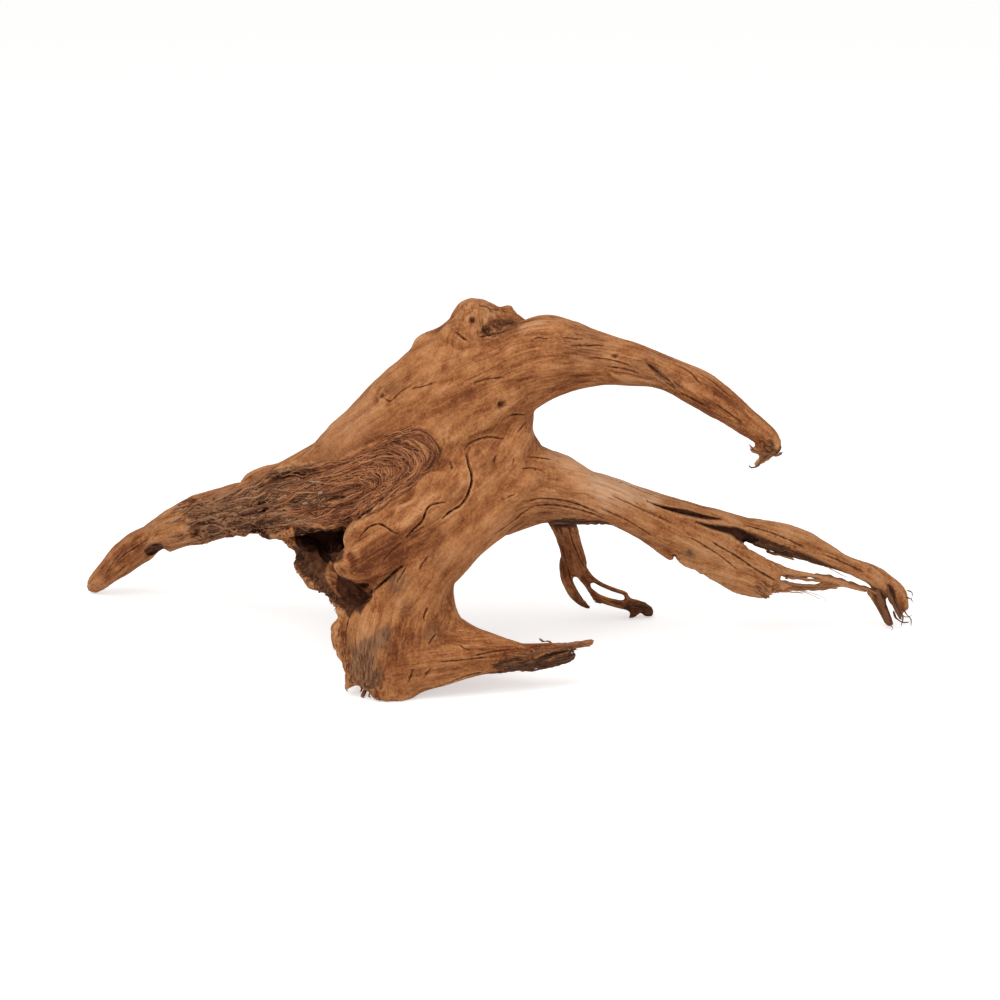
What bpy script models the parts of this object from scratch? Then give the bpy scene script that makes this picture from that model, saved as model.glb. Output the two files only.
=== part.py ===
"""Mangrove root: one piece of weathered driftwood that stands on its foot and three limb ends.

Metres, +Z up. The front of the root faces -Y and its limbs spread along X.
The wood is laid up from strands, as a root grows. Each strand is a tube along a route: the thick
ones fuse into the trunk and limbs, hollows are cut out of them, grain is raised along them, and
the frayed fibres, toes and rootlets are fused on last.
"""

import math

import bmesh
import bpy
from mathutils import Vector, kdtree, noise
from mathutils.bvhtree import BVHTree

NODE = "mangrove_root"
MM = 0.001

# Driving dimensions.
BODY_VOXEL = 2.2 * MM  # grid that fuses the thick strands
HOLLOW_VOXEL = 1.6 * MM  # grid that keeps the edges of the hollows
FINE_VOXEL = 1.1 * MM  # grid that fuses the thin strands
BODY_SMOOTHING = 12  # passes that round the webs between limbs
SKIN_SMOOTHING = 2
GRAIN_HEIGHT = 2.9 * MM  # ridges raised along the wood
GRAIN_WIDTH = 13 * MM
GRAIN_LENGTH = 85 * MM
GRAIN_BLEND = 1.4  # strands up to this many times as far as the nearest share the grain
GRAIN_SHIFT = 7.3 * GRAIN_WIDTH  # sets the grain of one strand apart from the next
LUMP_HEIGHT = 1.6 * MM  # uneven swellings
LUMP_SIZE = 26 * MM
FIBRE_COUNT = 9  # strands of the frayed band
FIBRE_HALF_WIDTH = 2.6 * MM
FIBRE_SHIFT = 3.1  # sets the waves of one fibre apart from the next
FIBRE_VARIATION = 0.35
SPLIT_HALF_WIDTH = 1.9 * MM
SPLIT_DEPTH = 2.6 * MM
PINCH_PASSES = 3
FOOT_TRIM = 1.0 * MM  # how much the feet are worn flat where they stand
TRIANGLES = 11400
STRAND_SIDES = 16
STRAND_TIP = 0.8  # length of a strand's pointed end, in half widths
FIBRE_SIDES = 8
STATION_STEP = 4 * MM
NEIGHBOURS = 30  # sections that a place on the surface may take its grain from
IN_FRONT = -1.0  # y of a point well in front of the wood

# Every strand is a list of stations: x, y, z of its centre, then its half width as seen from the
# front and its half thickness from front to back, all in millimetres above the ground.
TRUNK = {
    "crest": [
        (40, 4, 190, 17, 18),
        (7, 6, 184, 26, 26),
        (-26, 12, 170, 32, 29),
        (-62, 22, 145, 29, 27),
        (-96, 40, 118, 22, 21),
        (-134, 62, 94, 17, 17),
        (-168, 80, 77, 15, 15),
    ],
    "crest_edge": [
        (-12, 10, 197, 20, 22),
        (-27, 12, 190, 24, 25),
        (-43, 14, 171.5, 25.5, 26),
        (-61, 20, 154, 26, 26),
        (-81, 26, 136, 24, 24),
        (-103, 36, 116, 21, 21),
        (-129, 50, 100, 17, 19),
        (-154, 70, 89, 16, 16),
    ],
    "brow": [
        (6, 0, 180, 18, 20),
        (-18, -4, 160, 20, 21),
        (-42, -4, 142, 19, 20),
        (-66, 4, 126, 16, 18),
    ],
    "heart": [
        (-6, 16, 168, 30, 28),
        (-16, 12, 132, 32, 30),
        (-34, 2, 100, 26, 26),
    ],
    "lobe": [
        (8, 2, 152, 17, 20),
        (-2, -5, 136, 20, 21),
        (-18, -18, 123, 21, 21),
        (-36, -27, 111, 19, 19),
        (-56, -36, 97, 16, 16),
        (-73, -40, 86, 14, 13),
        (-87, -41, 79, 12, 11),
        (-93, -41, 77, 8, 8),
    ],
    "middle": [
        (10, 0, 127, 24, 26),
        (-15, -13, 106, 24, 26),
        (-41, -24, 83, 23, 26),
        (-60, -32, 60, 21, 24),
        (-71, -41, 36, 20, 22),
        (-75, -49, 15, 14, 16),
        (-73, -55, 3, 10, 9),
    ],
    "front": [
        (20, 4, 118, 20, 24),
        (-9, -8, 105, 19, 26),
        (-36, -20, 87, 17, 26),
        (-48, -28, 63, 18, 26),
        (-52, -37, 40, 21, 24),
        (-56, -47, 19, 19, 18),
        (-69, -56, 4, 12, 10),
    ],
    "shelf": [
        (-41, -20, 132, 14, 14),
        (-68, -10, 121, 19, 18),
        (-102, 6, 107, 19, 20),
        (-137, 36, 91, 18, 18),
        (-172, 68, 78, 14, 15),
        (-190, 86, 70, 12, 12),
    ],
    "rim_outer": [
        (-124, 34, 86, 12, 10),
        (-119, 20, 72, 10, 10),
        (-110, 2, 60, 10, 10),
        (-93, -18, 52, 9, 11),
        (-87, -34, 38, 9, 12),
        (-85, -44, 22, 8, 12),
        (-80, -52, 8, 6, 7),
    ],
    "rim_inner": [
        (-104, 36, 90, 18, 11),
        (-98, 26, 70, 17, 11),
        (-88, 8, 54, 15, 11),
        (-78, -14, 40, 14, 13),
    ],
    "back_wall": [
        (-36, 36, 126, 20, 12),
        (-66, 38, 108, 20, 12),
        (-92, 40, 96, 18, 11),
    ],
    "back_rib": [
        (-6, 34, 150, 22, 14),
        (-32, 30, 108, 24, 14),
        (-54, 18, 70, 22, 14),
        (-66, 0, 36, 18, 14),
        (-70, -16, 10, 14, 12),
    ],
}
LIMBS = {
    "left_arm": [
        (-150, 70, 86, 14, 15),
        (-163, 78, 82, 15, 15),
        (-176, 86, 74, 16, 15),
        (-189, 96, 67, 17, 15),
        (-202, 106, 61, 16, 14),
        (-213, 114, 55, 13.5, 13),
        (-222, 121, 47, 12, 12),
        (-233, 128, 39, 11, 11),
        (-245, 135, 29, 10, 10),
        (-256, 141, 18, 8, 9),
        (-266, 146, 8, 7, 7),
        (-271, 149, 2, 5, 5),
    ],
    "upper_arm": [
        (8, 4, 190, 24, 24),
        (28, 2, 194, 23, 21),
        (40, 0, 196, 20, 19),
        (52, -3, 196, 17, 17),
        (66, -6, 196, 15, 15),
        (85, -11, 192.5, 13.5, 14),
        (108, -18, 185, 12, 13),
        (132, -26, 172.5, 11, 12),
        (144, -30, 164, 9, 10),
        (155, -35, 156, 8, 8),
        (162, -38, 149, 6.5, 6),
    ],
    "crotch": [
        (66, 0, 188, 7, 12),
        (42, 4, 183, 10, 18),
        (18, 8, 174, 11, 20),
        (3, 14, 157, 11, 20),
        (6, 16, 138, 11, 20),
        (18, 18, 118, 9, 16),
        (38, 20, 110, 8, 12),
    ],
    "right_leg": [
        (0, 0, 126, 26, 24),
        (36, 8, 112, 20, 20),
        (60, 14, 105, 15, 17),
        (76, 18, 97, 14, 16),
        (88, 22, 88, 13, 15),
        (101, 26, 80, 14, 13),
        (113, 30, 73, 14, 12),
        (126, 33, 66, 14, 10),
        (139, 36, 58, 16, 8),
        (152, 39, 49, 17, 6),
        (164, 42, 43, 15, 5),
        (171, 43, 39, 11, 4),
    ],
    "leg_branch": [
        (60, 18, 109, 7, 14),
        (85, 22, 102.5, 6, 13),
        (101, 27, 97, 5.5, 12),
        (126, 35, 87.5, 6, 10),
        (151, 44, 76.5, 8, 9),
        (164, 48, 72, 9.5, 9),
        (177, 53, 66, 11, 9),
        (190, 58, 60, 11, 8),
        (204, 63, 52.5, 8.5, 8),
        (217, 68, 45, 7, 8),
        (230, 72, 39, 7, 8),
        (244, 75, 32, 7, 7),
    ],
    "arch": [
        (55, 16, 100, 9, 12),
        (30, 10, 102, 11, 16),
        (12, 4, 100, 12, 18),
        (-11, -6, 97, 12, 20),
        (-32, -14, 87, 12, 20),
        (-45, -20, 73, 12, 20),
        (-42, -26, 53, 13, 18),
        (-31, -33, 36, 13, 16),
        (-10, -40, 27, 9, 13),
        (10, -44, 25, 7, 10),
    ],
    "spur": [
        (-62, -50, 16, 15, 14),
        (-41, -50, 20, 15, 14),
        (-18, -47, 23, 11, 12),
        (6, -43, 23, 8, 10),
        (27, -39, 24, 6, 8),
        (42, -36, 24, 5, 6),
    ],
    "rear_leg": [
        (-10, 30, 158, 20, 18),
        (2, 38, 132, 17, 17),
        (26, 48, 104, 12, 14),
        (39, 60, 77, 9, 12),
        (44.5, 76, 54, 9, 11),
        (48, 84, 38, 9, 9),
    ],
    "knob": [
        (-20, 14, 194, 18, 20),
        (-14, 18, 213.5, 15, 18),
        (-11, 20, 220.5, 12, 13),
    ],
    "knob_side": [
        (-3, 14, 194, 17, 18),
        (4, 19, 210, 15, 15),
        (5, 20, 214, 12, 12),
    ],
    "knob_heel": [
        (-28, 12, 190, 14, 18),
        (-34, 14, 199, 11, 15),
    ],
    "arm_shoulder": [
        (8, 4, 198, 12, 15),
        (21, 3, 204, 15, 16),
        (34, 1, 203, 16, 17),
        (50, -2, 199, 15, 15),
        (66, -6, 197, 13, 13),
    ],
}
# Cut out of the fused wood: the side hollow under the frayed shelf, its lower pocket, and the
# rotted underside of the foot.
HOLLOWS = {
    "side_hollow": [
        (-150, 4, 66, 13, 20),
        (-126, 0, 76, 15, 22),
        (-104, 0, 82, 15, 22),
        (-84, 8, 88, 13, 16),
        (-66, 14, 96, 9, 12),
    ],
    "lower_pocket": [
        (-98, -40, 62, 9, 14),
        (-86, -36, 60, 8, 14),
        (-76, -30, 60, 7, 11),
        (-69, -26, 60, 5, 7),
    ],
    "under_foot": [
        (-58, -24, -12, 12, 13),
        (-56, -22, 14, 12, 12),
        (-48, -14, 36, 9, 9),
        (-40, -4, 52, 6, 6),
    ],
}
# Fused on last, on the fine grid: folds of the hollow, toes, split ends and rootlets.
THIN = {
    "hollow_fold": [
        (-121, 22, 76, 4, 6),
        (-114, 10, 70, 4, 7),
        (-106, -6, 62, 4, 7),
        (-97, -24, 56, 4, 6),
    ],
    "hollow_rib": [
        (-100, 26, 82, 4, 6),
        (-100, 14, 74, 4, 7),
        (-94, 0, 64, 4, 7),
        (-84, -22, 54, 4, 6),
    ],
    "shelf_lip": [
        (-148, 30, 80, 5, 7),
        (-128, 10, 86, 4, 8),
        (-110, -6, 93, 3, 8),
        (-92, -14, 99, 2.6, 7),
    ],
    "lobe_top": [
        (-44, -18, 124, 12, 12),
        (-62, -26, 112, 11, 12),
        (-78, -30, 100, 9, 12),
        (-90, -30, 90, 6, 9),
    ],
    "inner_wall": [
        (-66, 6, 100, 12, 8),
        (-80, 4, 96, 10, 8),
        (-94, 12, 96, 9, 8),
    ],
    "foot_rim": [
        (-94, -34, 50, 4, 7),
        (-97, -40, 38, 4, 8),
        (-93, -45, 25, 4, 8),
        (-89, -49, 15, 3.5, 7),
        (-88, -51, 10, 3, 5),
        (-91, -51, 6, 2.4, 3),
    ],
    "foot_rootlet": [
        (-78, -50, 9, 3, 4),
        (-79, -54, 4, 2.6, 2.6),
        (-80, -56, 1, 2.3, 2.3),
    ],
    "rear_toe_front": [
        (42, 84, 44, 6, 6),
        (44, 87, 29, 5, 5),
        (49, 89, 18, 4, 5),
        (54, 90, 13, 3.5, 4),
        (58, 91, 10, 2.6, 3),
    ],
    "rear_toe_long": [
        (45, 88, 46, 5, 7),
        (50, 93, 28, 4.5, 6),
        (59, 96, 18, 4, 5),
        (72, 97, 12, 4, 5),
        (84, 98, 9, 4, 5),
        (91, 99, 8, 4, 5),
        (97, 99, 3, 3.5, 4),
    ],
    "rear_toe_top": [
        (46, 90, 52, 4, 6),
        (53, 97, 32, 3.5, 5),
        (62, 99, 23, 3, 4),
        (72, 100, 18, 2.8, 4),
        (82, 100, 15, 2.6, 3),
    ],
    "rear_toe_hook": [
        (91, 98, 9, 3, 3),
        (87, 95, 5, 2.5, 2.5),
        (83, 93, 1, 2.3, 2.3),
    ],
    "leg_tip_outer": [
        (240, 75, 33, 6, 6),
        (251, 76, 28, 5, 5),
        (256, 76, 21, 4, 4),
        (258, 76, 13, 2.8, 3),
    ],
    "leg_tip_middle": [
        (240, 74, 32, 5, 5),
        (246, 73, 25, 4, 4),
        (250, 73, 15, 3.5, 3),
        (254, 73, 9, 2.6, 3),
    ],
    "leg_tip_low": [
        (229, 74, 36, 4, 5),
        (237.5, 77, 24, 3.8, 4),
        (244.5, 79, 11, 3.5, 4),
        (249.5, 80, 1, 3.4, 4),
    ],
    "flap_strand_upper": [
        (156, 42, 57, 7, 4),
        (171, 46, 51, 4.5, 3.5),
        (184, 50, 46.5, 3, 3),
        (200, 57, 41, 2.6, 3),
        (217, 64, 34.5, 2.6, 3),
        (232, 71, 28, 2.6, 3),
    ],
    "flap_strand_lower": [
        (158, 43, 44, 8, 4),
        (175, 48, 38, 4, 3),
        (188, 53, 35.5, 2.8, 2.6),
        (202, 58, 34.5, 2.4, 2.4),
        (215, 63, 34.5, 2.4, 2.4),
    ],
    "leg_splinter": [
        (103, 28, 90, 4, 5),
        (123, 34, 81, 3, 4),
        (137, 38, 77, 2.8, 3),
        (146, 40, 75, 2.4, 2.6),
    ],
    "leg_stub": [
        (168, 46, 56, 4, 3),
        (176, 48, 58, 3, 3),
        (181, 49, 61, 2.6, 2.6),
    ],
    "leg_ledge": [
        (30, 8, 94, 3, 6),
        (46, 10, 94, 3.4, 8),
        (62, 12, 92, 3, 6),
    ],
    "spur_high_tip": [
        (20, -40, 26, 4.5, 5),
        (36, -37, 26, 3.5, 4),
        (48, -35, 27, 2.8, 3),
        (55, -34, 28, 2.4, 2.4),
    ],
    "spur_low_tip": [
        (-10, -44, 19, 6, 6),
        (12, -40, 18, 5, 5),
        (32, -37, 19, 4, 4),
        (43, -36, 20, 3, 3),
    ],
    "arm_rootlet_long": [
        (160, -38, 149, 3.5, 3.5),
        (155, -40, 144, 2.6, 2.6),
        (148, -42, 141, 2.3, 2.3),
    ],
    "arm_rootlet_short": [
        (156, -37, 151, 3, 3),
        (150, -38, 148, 2.4, 2.4),
        (146, -38, 149, 2.2, 2.2),
    ],
}
# The frayed band lies between an outer and an inner loop on the front of the shelf. Its fibres
# run out along the crest, turn over and come back: x and z as seen from the front.
BAND_OUTER = [
    (-195, 78), (-162, 98), (-121, 117), (-89, 128), (-68, 137), (-56, 139), (-46, 134),
    (-46, 124), (-54, 115), (-66, 108), (-84, 101), (-106, 96), (-128, 90),
]
BAND_INNER = [
    (-198, 64), (-160, 84), (-120, 104), (-98, 112), (-89, 115), (-82, 116), (-77, 114),
    (-79, 111), (-86, 108), (-96, 105), (-106, 102), (-118, 99), (-128, 95),
]
# Splits along the grain: x and z as seen from the front.
SPLITS = [
    [(-20, 147), (-16, 134), (-19, 123), (-26, 116), (-35, 110)],
    [(-32, 120), (-41, 119), (-42, 115), (-48, 107), (-56, 101)],
    [(-80, 99), (-72, 104), (-65, 105), (-60, 102)],
    [(-57, 82), (-68, 72), (-78, 64)],
    [(-18, 151), (-12, 154), (-5, 156)],
    [(0, 98), (18, 107), (27, 110), (54, 105)],
    [(131, 71), (147, 59), (159, 49), (168, 42)],
    [(85, 199), (92, 194), (100, 188), (106, 183), (121, 175)],
    [(-30, 206), (-22, 203), (-14, 205)],
]
# Pits: their two ends, x and z as seen from the front, then half width and depth.
PITS = [
    [(1, 172), (1.5, 172), 4, 3],
    [(-17, 216), (-16, 216), 3, 2.5],
    [(-216, 45), (-226, 36), 4.5, 4],
    [(-150, 84), (-140, 88), 4.5, 4],
    [(-166, 76), (-160, 79), 4, 3],
]


def clear_scene():
    for obj in list(bpy.data.objects):
        bpy.data.objects.remove(obj, do_unlink=True)


def in_metres(route):
    return [[value * MM for value in station] for station in route]


def smooth_route(points, step):
    """The smooth curve through the points, with a new point about every step."""
    padded = [points[0], *points, points[-1]]
    curve = []
    for before, start, end, after in zip(padded, padded[1:], padded[2:], padded[3:]):
        count = max(2, round(math.dist(start[:3], end[:3]) / step))
        for i in range(count):
            t = i / count
            weights = (
                (-t + 2 * t**2 - t**3) / 2,
                (2 - 5 * t**2 + 3 * t**3) / 2,
                (t + 4 * t**2 - 3 * t**3) / 2,
                (t**3 - t**2) / 2,
            )
            values = zip(before, start, end, after)
            curve.append([sum(w * v for w, v in zip(weights, four)) for four in values])
    curve.append(padded[-1])
    return curve


class Section:
    """One cross-section of a strand: its centre, its directions and its half widths."""

    def __init__(self, before, here, after, run, seed):
        self.centre = Vector(here[:3])
        self.along = (Vector(after[:3]) - Vector(before[:3])).normalized()
        self.across = self.along.cross(Vector((0, 1, 0))).normalized()
        self.through = self.across.cross(self.along)
        self.half_width, self.half_depth = here[3:5]
        self.run = run
        self.seed = seed


def sections_of(stations, seed=0):
    curve = smooth_route(stations, STATION_STEP)
    sections = []
    run = 0.0
    for i, here in enumerate(curve):
        before = curve[max(i - 1, 0)]
        after = curve[min(i + 1, len(curve) - 1)]
        run += math.dist(before[:3], here[:3])
        sections.append(Section(before, here, after, run, seed))
    return sections


def strands(*groups):
    routes = [route for group in groups for route in group.values()]
    return [sections_of(in_metres(route), seed) for seed, route in enumerate(routes)]


def add_tube(mesh, sections, sides):
    """Adds one closed tube with pointed ends to the mesh."""
    rings = []
    for section in sections:
        ring = []
        for side in range(sides):
            angle = 2 * math.pi * side / sides
            sideways = section.across * (section.half_width * math.cos(angle))
            inward = section.through * (section.half_depth * math.sin(angle))
            ring.append(mesh.verts.new(section.centre + sideways + inward))
        rings.append(ring)
    for lower, upper in zip(rings, rings[1:]):
        for side in range(sides):
            after = (side + 1) % sides
            mesh.faces.new((lower[side], lower[after], upper[after], upper[side]))
    for ring, section, way in ((rings[0], sections[0], -1), (rings[-1], sections[-1], 1)):
        reach = STRAND_TIP * min(section.half_width, section.half_depth)
        tip = mesh.verts.new(section.centre + section.along * (way * reach))
        for side in range(sides):
            mesh.faces.new((ring[side], ring[(side + 1) % sides], tip))


def object_of_tubes(name, tubes, sides=STRAND_SIDES):
    mesh = bmesh.new()
    for sections in tubes:
        add_tube(mesh, sections, sides)
    bmesh.ops.recalc_face_normals(mesh, faces=mesh.faces)
    data = bpy.data.meshes.new(name)
    mesh.to_mesh(data)
    mesh.free()
    obj = bpy.data.objects.new(name, data)
    bpy.context.scene.collection.objects.link(obj)
    return obj


def add_modifier(obj, kind, **settings):
    modifier = obj.modifiers.new(kind.title(), kind)
    for name, value in settings.items():
        setattr(modifier, name, value)


def apply_modifiers(obj):
    graph = bpy.context.evaluated_depsgraph_get()
    baked = bpy.data.meshes.new_from_object(obj.evaluated_get(graph))
    obj.modifiers.clear()
    obj.data = baked


def fuse(obj, voxel, smoothing):
    """Makes one skin of all the closed shells in the object, and rounds its creases."""
    add_modifier(obj, "REMESH", mode="VOXEL", voxel_size=voxel)
    add_modifier(obj, "SMOOTH", factor=0.5, iterations=smoothing)
    apply_modifiers(obj)


def cut(obj, cutter):
    cutter.hide_render = True
    cutter.display_type = "WIRE"
    add_modifier(obj, "BOOLEAN", operation="DIFFERENCE", object=cutter)
    apply_modifiers(obj)
    bpy.data.objects.remove(cutter)


def join(obj, *others):
    mesh = bmesh.new()
    mesh.from_mesh(obj.data)
    for other in others:
        mesh.from_mesh(other.data)
        bpy.data.objects.remove(other)
    mesh.to_mesh(obj.data)
    mesh.free()


def tree_of(places):
    tree = kdtree.KDTree(len(places))
    for index, place in enumerate(places):
        tree.insert(place, index)
    tree.balance()
    return tree


def surface_of(obj):
    corners = [vertex.co for vertex in obj.data.vertices]
    return BVHTree.FromPolygons(corners, [face.vertices for face in obj.data.polygons])


def seen_from_front(surface, x, z):
    """The place and normal where a level line from the front first meets the wood."""
    return surface.ray_cast(Vector((x, IN_FRONT, z)), Vector((0, 1, 0)))[:2]


def slenderness(section):
    return min(1.0, min(section.half_width, section.half_depth) / GRAIN_WIDTH)


def ridge_at(place, section):
    """Height of the grain at a place, as the strand of the section draws it."""
    offset = place - section.centre
    run = section.run + offset.dot(section.along)
    across = offset.dot(section.across)
    through = offset.dot(section.through) + GRAIN_SHIFT * section.seed
    grain = Vector((run / GRAIN_LENGTH, across / GRAIN_WIDTH, through / GRAIN_WIDTH))
    return (2 * abs(noise.noise(grain)) - 0.5) * GRAIN_HEIGHT * slenderness(section)


def raise_grain(obj, tubes):
    """Raises ridges along the nearest strands, on top of the uneven swellings of grown wood."""
    sections = [section for tube in tubes for section in tube]
    tree = tree_of([section.centre for section in sections])
    normals = [vertex.normal.copy() for vertex in obj.data.vertices]
    for vertex, normal in zip(obj.data.vertices, normals):
        near = tree.find_n(vertex.co, NEIGHBOURS)
        reach = near[0][2] * GRAIN_BLEND
        total = 0.0
        rise = 0.0
        seen = set()
        for _, index, distance in near:
            section = sections[index]
            if distance < reach and section.seed not in seen:
                seen.add(section.seed)
                weight = (reach - distance) ** 2
                total += weight
                rise += weight * ridge_at(vertex.co, section)
        lump = noise.noise(vertex.co / LUMP_SIZE) * LUMP_HEIGHT
        vertex.co += normal * (rise / total + lump * slenderness(sections[near[0][1]]))


def carve(obj, route, half_width, depth):
    """Presses a groove along a route into the front of the wood, fading out at both ends."""
    surface = surface_of(obj)
    flat = smooth_route([[x * MM, 0, z * MM] for x, z in route], half_width)
    hits = [seen_from_front(surface, x, z) for x, _, z in flat]
    hits = [(place, normal) for place, normal in hits if place]
    tree = tree_of([place for place, _ in hits])
    for vertex in obj.data.vertices:
        _, index, distance = tree.find(vertex.co)
        if distance < half_width:
            fade = math.sin(math.pi * (index + 1) / (len(hits) + 1)) ** 0.5
            press = (1 - (distance / half_width) ** 2) * depth * fade
            vertex.co -= hits[index][1] * press


def frayed_band(obj):
    """Tubes that follow the two loops of the frayed band, and every step between them."""
    surface = surface_of(obj)
    tubes = []
    for fibre in range(FIBRE_COUNT):
        t = fibre / (FIBRE_COUNT - 1)
        stations = []
        for (x0, z0), (x1, z1) in zip(BAND_OUTER, BAND_INNER):
            x = (x0 + (x1 - x0) * t) * MM
            z = (z0 + (z1 - z0) * t) * MM
            wave = noise.noise(Vector((x / LUMP_SIZE, FIBRE_SHIFT * fibre, z / LUMP_SIZE)))
            place, normal = seen_from_front(surface, x, z + wave * FIBRE_HALF_WIDTH)
            if place:
                width = FIBRE_HALF_WIDTH * (1 + FIBRE_VARIATION * wave)
                stations.append([*(place + normal * (wave * FIBRE_HALF_WIDTH)), width, width])
        tubes.append(sections_of(stations))
    return tubes


def close_skin(mesh):
    bmesh.ops.holes_fill(mesh, edges=mesh.edges)
    bmesh.ops.triangulate(mesh, faces=mesh.faces)


def part_pinches(mesh):
    """Takes away the faces round each edge that more than two of them share, and closes the skin."""
    for _ in range(PINCH_PASSES):
        pinches = [edge for edge in mesh.edges if len(edge.link_faces) > 2]
        ends = {vertex for edge in pinches for vertex in edge.verts}
        faces = {face for vertex in ends for face in vertex.link_faces}
        bmesh.ops.delete(mesh, geom=list(faces), context="FACES")
        close_skin(mesh)


def trim_feet(obj):
    """Wears the lowest points flat, and closes the small flat spots that the root stands on."""
    mesh = bmesh.new()
    mesh.from_mesh(obj.data)
    part_pinches(mesh)
    everything = mesh.verts[:] + mesh.edges[:] + mesh.faces[:]
    bmesh.ops.bisect_plane(
        mesh, geom=everything, plane_co=(0, 0, FOOT_TRIM), plane_no=(0, 0, 1), clear_inner=True
    )
    close_skin(mesh)
    mesh.to_mesh(obj.data)
    mesh.free()


def set_down(obj):
    """Puts the ground at z = 0, and the origin under the middle of the root's box."""
    lows = [min(vertex.co[axis] for vertex in obj.data.vertices) for axis in range(3)]
    highs = [max(vertex.co[axis] for vertex in obj.data.vertices) for axis in range(3)]
    middle = Vector(((lows[0] + highs[0]) / 2, (lows[1] + highs[1]) / 2, lows[2]))
    for vertex in obj.data.vertices:
        vertex.co -= middle


def wood():
    material = bpy.data.materials.new("weathered_wood")
    material.use_nodes = True
    shader = material.node_tree.nodes["Principled BSDF"]
    shader.inputs["Base Color"].default_value = (0.36, 0.17, 0.07, 1)
    shader.inputs["Roughness"].default_value = 0.78
    shader.inputs["Metallic"].default_value = 0.0
    return material


def main():
    clear_scene()
    grown = strands(TRUNK, LIMBS)
    root = object_of_tubes(NODE, grown)
    fuse(root, BODY_VOXEL, BODY_SMOOTHING)
    hollows = object_of_tubes("hollows", strands(HOLLOWS))
    fuse(hollows, HOLLOW_VOXEL, SKIN_SMOOTHING)
    cut(root, hollows)
    fuse(root, HOLLOW_VOXEL, SKIN_SMOOTHING)
    raise_grain(root, grown)
    band = object_of_tubes("band", frayed_band(root), FIBRE_SIDES)
    join(root, band, object_of_tubes("thin", strands(THIN)))
    fuse(root, FINE_VOXEL, SKIN_SMOOTHING)
    for route in SPLITS:
        carve(root, route, SPLIT_HALF_WIDTH, SPLIT_DEPTH)
    for start, end, half_width, depth in PITS:
        carve(root, [start, end], half_width * MM, depth * MM)
    count = sum(len(face.vertices) - 2 for face in root.data.polygons)
    add_modifier(root, "DECIMATE", ratio=TRIANGLES / count)
    apply_modifiers(root)
    trim_feet(root)
    set_down(root)
    root.data.shade_smooth()
    root.data.materials.append(wood())


main()
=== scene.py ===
import math
import random
import bpy
import numpy as np
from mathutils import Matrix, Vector
from mathutils.bvhtree import BVHTree


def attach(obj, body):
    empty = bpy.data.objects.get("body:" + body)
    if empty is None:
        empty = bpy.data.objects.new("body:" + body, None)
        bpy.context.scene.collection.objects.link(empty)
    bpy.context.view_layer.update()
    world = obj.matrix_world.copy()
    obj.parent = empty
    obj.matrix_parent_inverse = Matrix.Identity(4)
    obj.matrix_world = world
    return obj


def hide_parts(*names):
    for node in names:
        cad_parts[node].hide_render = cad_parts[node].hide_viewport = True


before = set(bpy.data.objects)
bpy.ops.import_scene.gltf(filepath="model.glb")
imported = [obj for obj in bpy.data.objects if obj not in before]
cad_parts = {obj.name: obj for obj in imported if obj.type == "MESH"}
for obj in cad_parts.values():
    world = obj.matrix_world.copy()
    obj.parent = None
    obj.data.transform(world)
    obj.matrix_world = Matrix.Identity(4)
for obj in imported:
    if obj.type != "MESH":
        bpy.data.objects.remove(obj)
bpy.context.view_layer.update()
bpy.ops.object.select_all(action="DESELECT")
mm = 0.001  # lengths below are in millimetres, and meshes are in metres

photo = {
    "target": (6.4, -43.5, 106.4),  # the point in the middle of the picture
    "distance": 1700,
    "elevation": 16,
    "lens": 101.99,
    "sensor": 36,
    "size": 1000,  # pixels
    "pixel": 0.6,  # mm of wood that one pixel covers
}

light = {
    "sky": 0.55,  # light from all round
    "backdrop": 1.0,  # what the camera sees behind the floor
    "keyPower": 19.0,
    "keyPlace": (-500, -1000, 1500),
    "fillPower": 3.5,
    "fillPlace": (1200, -900, 500),
    "lampSize": 1.3,
    "floorSize": 30,
    "floor": (0.86, 0.855, 0.845),
    "floorGlow": 0.5,  # lifts the floor towards the backdrop, for the camera alone
}


def smoothStep(low, high, x):
    t = np.clip((np.asarray(x, float) - low) / (high - low), 0, 1)
    return t * t * (3 - 2 * t)


def unit(v):
    return v / np.maximum(np.linalg.norm(v, axis=-1, keepdims=True), 1e-9)


def valueNoise(points, seed=0):  # smooth noise from -1 to 1, for many points at once
    base = np.floor(points).astype(np.int64)
    part = points - base
    part = part * part * (3 - 2 * part)
    total = np.zeros(len(points))
    for corner in range(8):
        step = np.array([corner & 1, corner >> 1 & 1, corner >> 2])
        cell = base + step
        # large primes scatter the corner's whole numbers
        h = cell[:, 0] * 73856093 ^ cell[:, 1] * 19349663 ^ cell[:, 2] * 83492791 ^ (seed + 7) * 40503
        h = (h ^ (h >> 13)) * 1274126177 & 0x7FFFFFFF
        h = ((h ^ (h >> 15)) * 2246822519 & 0x7FFFFFFF) >> 7
        share = np.prod(np.where(step, part, 1 - part), axis=1)
        total += share * ((h & 0xFFFF) / 32767.5 - 1)
    return total


def layeredNoise(points, layers=3, seed=0):
    total, size = np.zeros(len(points)), 0.0
    for layer in range(layers):
        total += valueNoise(points * 2.03**layer, seed + layer) * 0.5**layer
        size += 0.5**layer
    return total / size


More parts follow.
